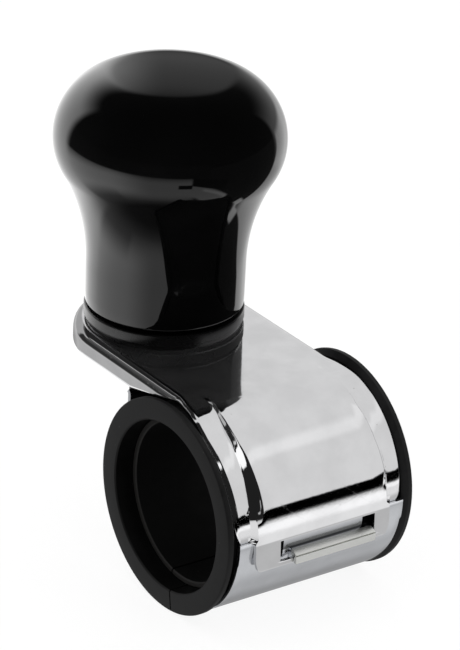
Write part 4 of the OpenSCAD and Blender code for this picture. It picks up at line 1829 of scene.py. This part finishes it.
@dataclass
class Dome:
    """A far sphere of soft panels that lights one family of finishes.

    Attributes:
        name: Its name.
        radius: Its radius in metres, beyond every camera.
        ground: The brightness straight below and at the horizon.
        sky: The brightness at the horizon and straight above.
        panels: The soft panels, later ones over earlier ones.
        receivers: The objects that it lights.
    """

    name: str
    radius: float
    ground: Pair
    sky: Pair
    panels: Sequence[SoftPanel]
    receivers: Sequence[Piece]

    def shade(self) -> bpy.types.Material:
        """Builds the dome's material, which lets other domes shine through it.

        Returns:
            The material.
        """
        material = bpy.data.materials.new(self.name)
        material.use_nodes = True
        material.node_tree.nodes.clear()
        nodes = Nodes(material.node_tree)
        place = nodes.add("TexCoord").outputs["Object"]
        unit = nodes.add("VectorMath", {"operation": "NORMALIZE"}, in_0=place)
        part = nodes.add("SeparateXYZ", vector=unit.outputs[0])
        height = nodes.math("DEGREES", nodes.math("ARCSINE", part.outputs["Z"]))
        front = nodes.math("MULTIPLY", part.outputs["Y"], -1.0)
        side = nodes.math("DEGREES", nodes.math("ARCTAN2", part.outputs["X"], front))
        below = nodes.remap(height, (-90, 0), self.ground, False)
        above = nodes.remap(height, (0, 90), self.sky, False)
        upper = nodes.math("GREATER_THAN", height, 0.0)
        level = nodes.over(upper, below, above)
        for panel in self.panels:
            turned = nodes.math("WRAP", nodes.math("SUBTRACT", side, panel.side), 180.0, -180.0)
            middle = nodes.math("ADD", nodes.math("MULTIPLY", turned, panel.lean), panel.height)
            off_height = nodes.math("ABSOLUTE", nodes.math("SUBTRACT", height, middle))
            soft, fade = panel.feather / 2, (panel.fade or panel.feather) / 2
            off_side = nodes.math("ABSOLUTE", turned)
            across = nodes.remap(off_side, (panel.width - soft, panel.width + soft), (1, 0))
            upright = nodes.remap(off_height, (panel.rise - fade, panel.rise + fade), (1, 0))
            level = nodes.over(nodes.math("MULTIPLY", across, upright), level, panel.level)
        glow = nodes.add("Emission", strength=level)
        clear = nodes.add("BsdfTransparent")
        both = nodes.add("AddShader", in_0=glow.outputs[0], in_1=clear.outputs[0])
        nodes.add("OutputMaterial", surface=both.outputs[0])
        return material

    def build(self) -> None:
        """Places the dome and links it to what it lights."""
        Bench.clear()
        bpy.ops.mesh.primitive_ico_sphere_add(subdivisions=5, radius=self.radius)
        dome = bpy.context.object
        dome.name = self.name
        bpy.ops.object.shade_smooth()
        dome.data.materials.append(self.shade())
        dome.visible_camera = False
        lit = bpy.data.collections.new(f"{self.name}_lights")
        for piece in self.receivers:
            lit.objects.link(piece)
        dome.light_linking.receiver_collection = lit


@dataclass
class Studio:
    """The pale floor, the soft light and the camera.

    Attributes:
        DOMES: What each dome lights, its radius in metres, its ground, its sky and its panels.
        palette: The finishes, which know the pieces that each dome lights.
        floor_place: The floor's middle in millimetres.
        floor_r: The floor's radius in metres.
        floor_shade: How bright the floor is where the domes light it.
        floor_glow: How bright it shines by itself for the camera.
        camera_place: The camera's place in millimetres.
        camera_turns: Its angle around the object, its height above the horizon and its roll, in degrees.
        focal_pixels: Its focal length in pixels of the picture.
        picture_height: The picture's height in pixels.
        sensor: The sensor's height in millimetres.
        clip: The nearest and the farthest distance that it sees, in metres.
    """

    DOMES: ClassVar = (
        (Light.PLATED, 3.0, (0.45, 0.62), (0.8, 0.8), (
            SoftPanel(0.72, 30, -45, 36, 17, 40, 26),
            SoftPanel(0.33, 145, -40, 32, 25, 36, 24),
            SoftPanel(0.58, 20, -25, 90, 6, 8),
            SoftPanel(0.95, 52, 47, 30, 4, 5),
            SoftPanel(0.93, 20, -15, 110, 6, 5),
            SoftPanel(1.2, 36, -11, 60, 2, 2),
            SoftPanel(0.68, 72, 3, 22, 12, 8),
            SoftPanel(0.017, -55, 30.5, 75, 37.5, 6),
            SoftPanel(0.0, 12, -5, 42, 3.6, 8, 4),
            SoftPanel(0.0, 12, -2.5, 42, 3.7, 8, 1.3),
            SoftPanel(1.25, -75, 38, 21, 6, 3, 3, 0.12),
            SoftPanel(0.7, -106, 23.5, 4, 3, 3),
            SoftPanel(0.5, -1, 11, 3, 3, 2),
            SoftPanel(0.02, -170, 42, 30, 14, 4),
            SoftPanel(0.03, -138, 9, 30, 16, 8, 10),
            SoftPanel(0.42, 179, 13, 19, 16, 6, 8),
            SoftPanel(0.52, -129, 15.5, 8.5, 4.5, 2.5),
            SoftPanel(0.07, -143, 22, 8, 6, 4),
            SoftPanel(0.6, -153, 33.3, 4, 1.2, 2),
            SoftPanel(0.5, -148, -24, 22, 12, 8, 12),
            SoftPanel(1.1, -157, -36, 16, 5.5, 6, 4),
        )),
        (Light.GLOSSY, 3.1, (0.03, 0.05), (0.03, 0.03), (
            SoftPanel(0.4, -95, -50, 85, 9, 40, 24),
            SoftPanel(0.75, -50, -34, 46, 18, 8, 18),
            SoftPanel(1.6, -150, -29, 75, 16, 50, 18),
            SoftPanel(0.04, -75, -2, 80, 10.5, 8, 3, -0.035),
            SoftPanel(0.75, 12, -46, 26, 12, 6, 5, -0.55),
            SoftPanel(1.2, 20, -42, 18, 2, 6, 3, -0.35),
            SoftPanel(1.2, 83, -53, 8, 2.5, 3, 2),
            SoftPanel(0.03, 7, -25.5, 19, 7.5, 3, 2, -0.3),
            SoftPanel(0.03, -18, -29.5, 7, 3.5, 1.5, 1.5),
            SoftPanel(1.0, 112, -34, 22, 18, 3, 8),
            SoftPanel(0.45, 112, 4, 25, 16, 6, 30),
            SoftPanel(1.4, 108, -13, 18, 13, 4, 8),
            SoftPanel(1.0, 137, -12, 18, 15, 12, 14),
            SoftPanel(0.27, 146, 23, 12, 14, 8, 14),
            SoftPanel(1.8, -179, -8, 29, 40, 12, 26),
        )),
        (Light.SOFT, 3.2, (0.3, 0.35), (0.35, 0.4), (
            SoftPanel(0.12, -36, 20, 70, 30, 30),
        )),
        (Light.FLOOR, 3.3, (1.0, 1.0), (1.0, 1.0), ()),
    )

    palette: Palette
    floor_place: Triple = (0.0, 10.0, -23.85)
    floor_r: float = 1.1
    floor_shade: float = 0.15
    floor_glow: float = 0.88
    camera_place: Triple = (-477.78, -645.73, 423.05)
    camera_turns: Triple = (-35.99, 25.70, 2.44)
    focal_pixels: float = 4245.65
    picture_height: int = 650
    sensor: float = 36.0
    clip: Pair = (0.01, 20.0)

    def camera(self) -> None:
        """Places the camera at the photograph's viewing angle."""
        side, height, roll = (math.radians(turn) for turn in self.camera_turns)
        level = math.cos(height)
        back = Vector((math.sin(side) * level, -math.cos(side) * level, math.sin(height)))
        right = Vector((math.cos(side), math.sin(side), 0))
        up = back.cross(right)
        turned_right = right * math.cos(roll) + up * math.sin(roll)
        turned_up = up * math.cos(roll) - right * math.sin(roll)
        data = bpy.data.cameras.new("camera")
        data.sensor_fit = "VERTICAL"
        data.sensor_height = self.sensor
        data.lens = self.focal_pixels * self.sensor / self.picture_height
        data.clip_start, data.clip_end = self.clip
        camera = bpy.data.objects.new("camera", data)
        camera.matrix_world = Matrix.Translation(Vector(self.camera_place) * MM) @ Matrix(
            (turned_right, turned_up, back)).transposed().to_4x4()
        bpy.context.scene.collection.objects.link(camera)
        bpy.context.scene.camera = camera

    def floor(self) -> Piece:
        """Lays the pale floor, which keeps a soft shadow of the object.

        Returns:
            The floor.
        """
        Bench.clear()
        bpy.ops.mesh.primitive_circle_add(vertices=96, radius=self.floor_r, fill_type="NGON",
                                          location=Vector(self.floor_place) * MM)
        floor = bpy.context.object
        floor.name = "floor"
        material = bpy.data.materials.new("pale_floor")
        material.use_nodes = True
        material.node_tree.nodes.clear()
        nodes = Nodes(material.node_tree)
        plain = nodes.add("BsdfDiffuse", color=opaque((1, 1, 1), self.floor_shade))
        seen = nodes.add("LightPath").outputs["Is Camera Ray"]
        glow = nodes.add("Emission", strength=nodes.math("MULTIPLY", seen, self.floor_glow))
        both = nodes.add("AddShader", in_0=plain.outputs[0], in_1=glow.outputs[0])
        nodes.add("OutputMaterial", surface=both.outputs[0])
        floor.data.materials.append(material)
        floor.visible_glossy = False
        floor.visible_diffuse = False
        floor.visible_shadow = False
        return floor

    def world(self) -> None:
        """Sets a white backdrop for the camera."""
        world = bpy.data.worlds.new("white_backdrop")
        bpy.context.scene.world = world
        world.use_nodes = True
        nodes = Nodes(world.node_tree)
        seen = nodes.add("LightPath").outputs["Is Camera Ray"]
        backdrop = world.node_tree.nodes["Background"]
        backdrop.inputs["Color"].default_value = opaque((1, 1, 1))
        nodes.set(backdrop, "strength", seen)

    def build(self) -> None:
        """Sets the camera, floor, backdrop and domes around the finished object."""
        bpy.context.scene.view_settings.view_transform = "Standard"
        self.camera()
        self.world()
        self.palette.lit[Light.FLOOR].append(self.floor())
        for light, radius, ground, sky, panels in self.DOMES:
            Dome(f"studio_for_{light.value}", radius, ground, sky, panels, self.palette.lit[light]).build()


def main() -> None:
    """Builds the pieces in order, and then the studio around them."""
    logging.basicConfig(level=logging.INFO, format="%(message)s")
    palette = Palette()
    for assembly in (UpperBracket, LowerJaw, RimSleeve, Grip, Collar, Fasteners):
        assembly(palette).build()
    Studio(palette).build()


if __name__ == "__main__":
    main()
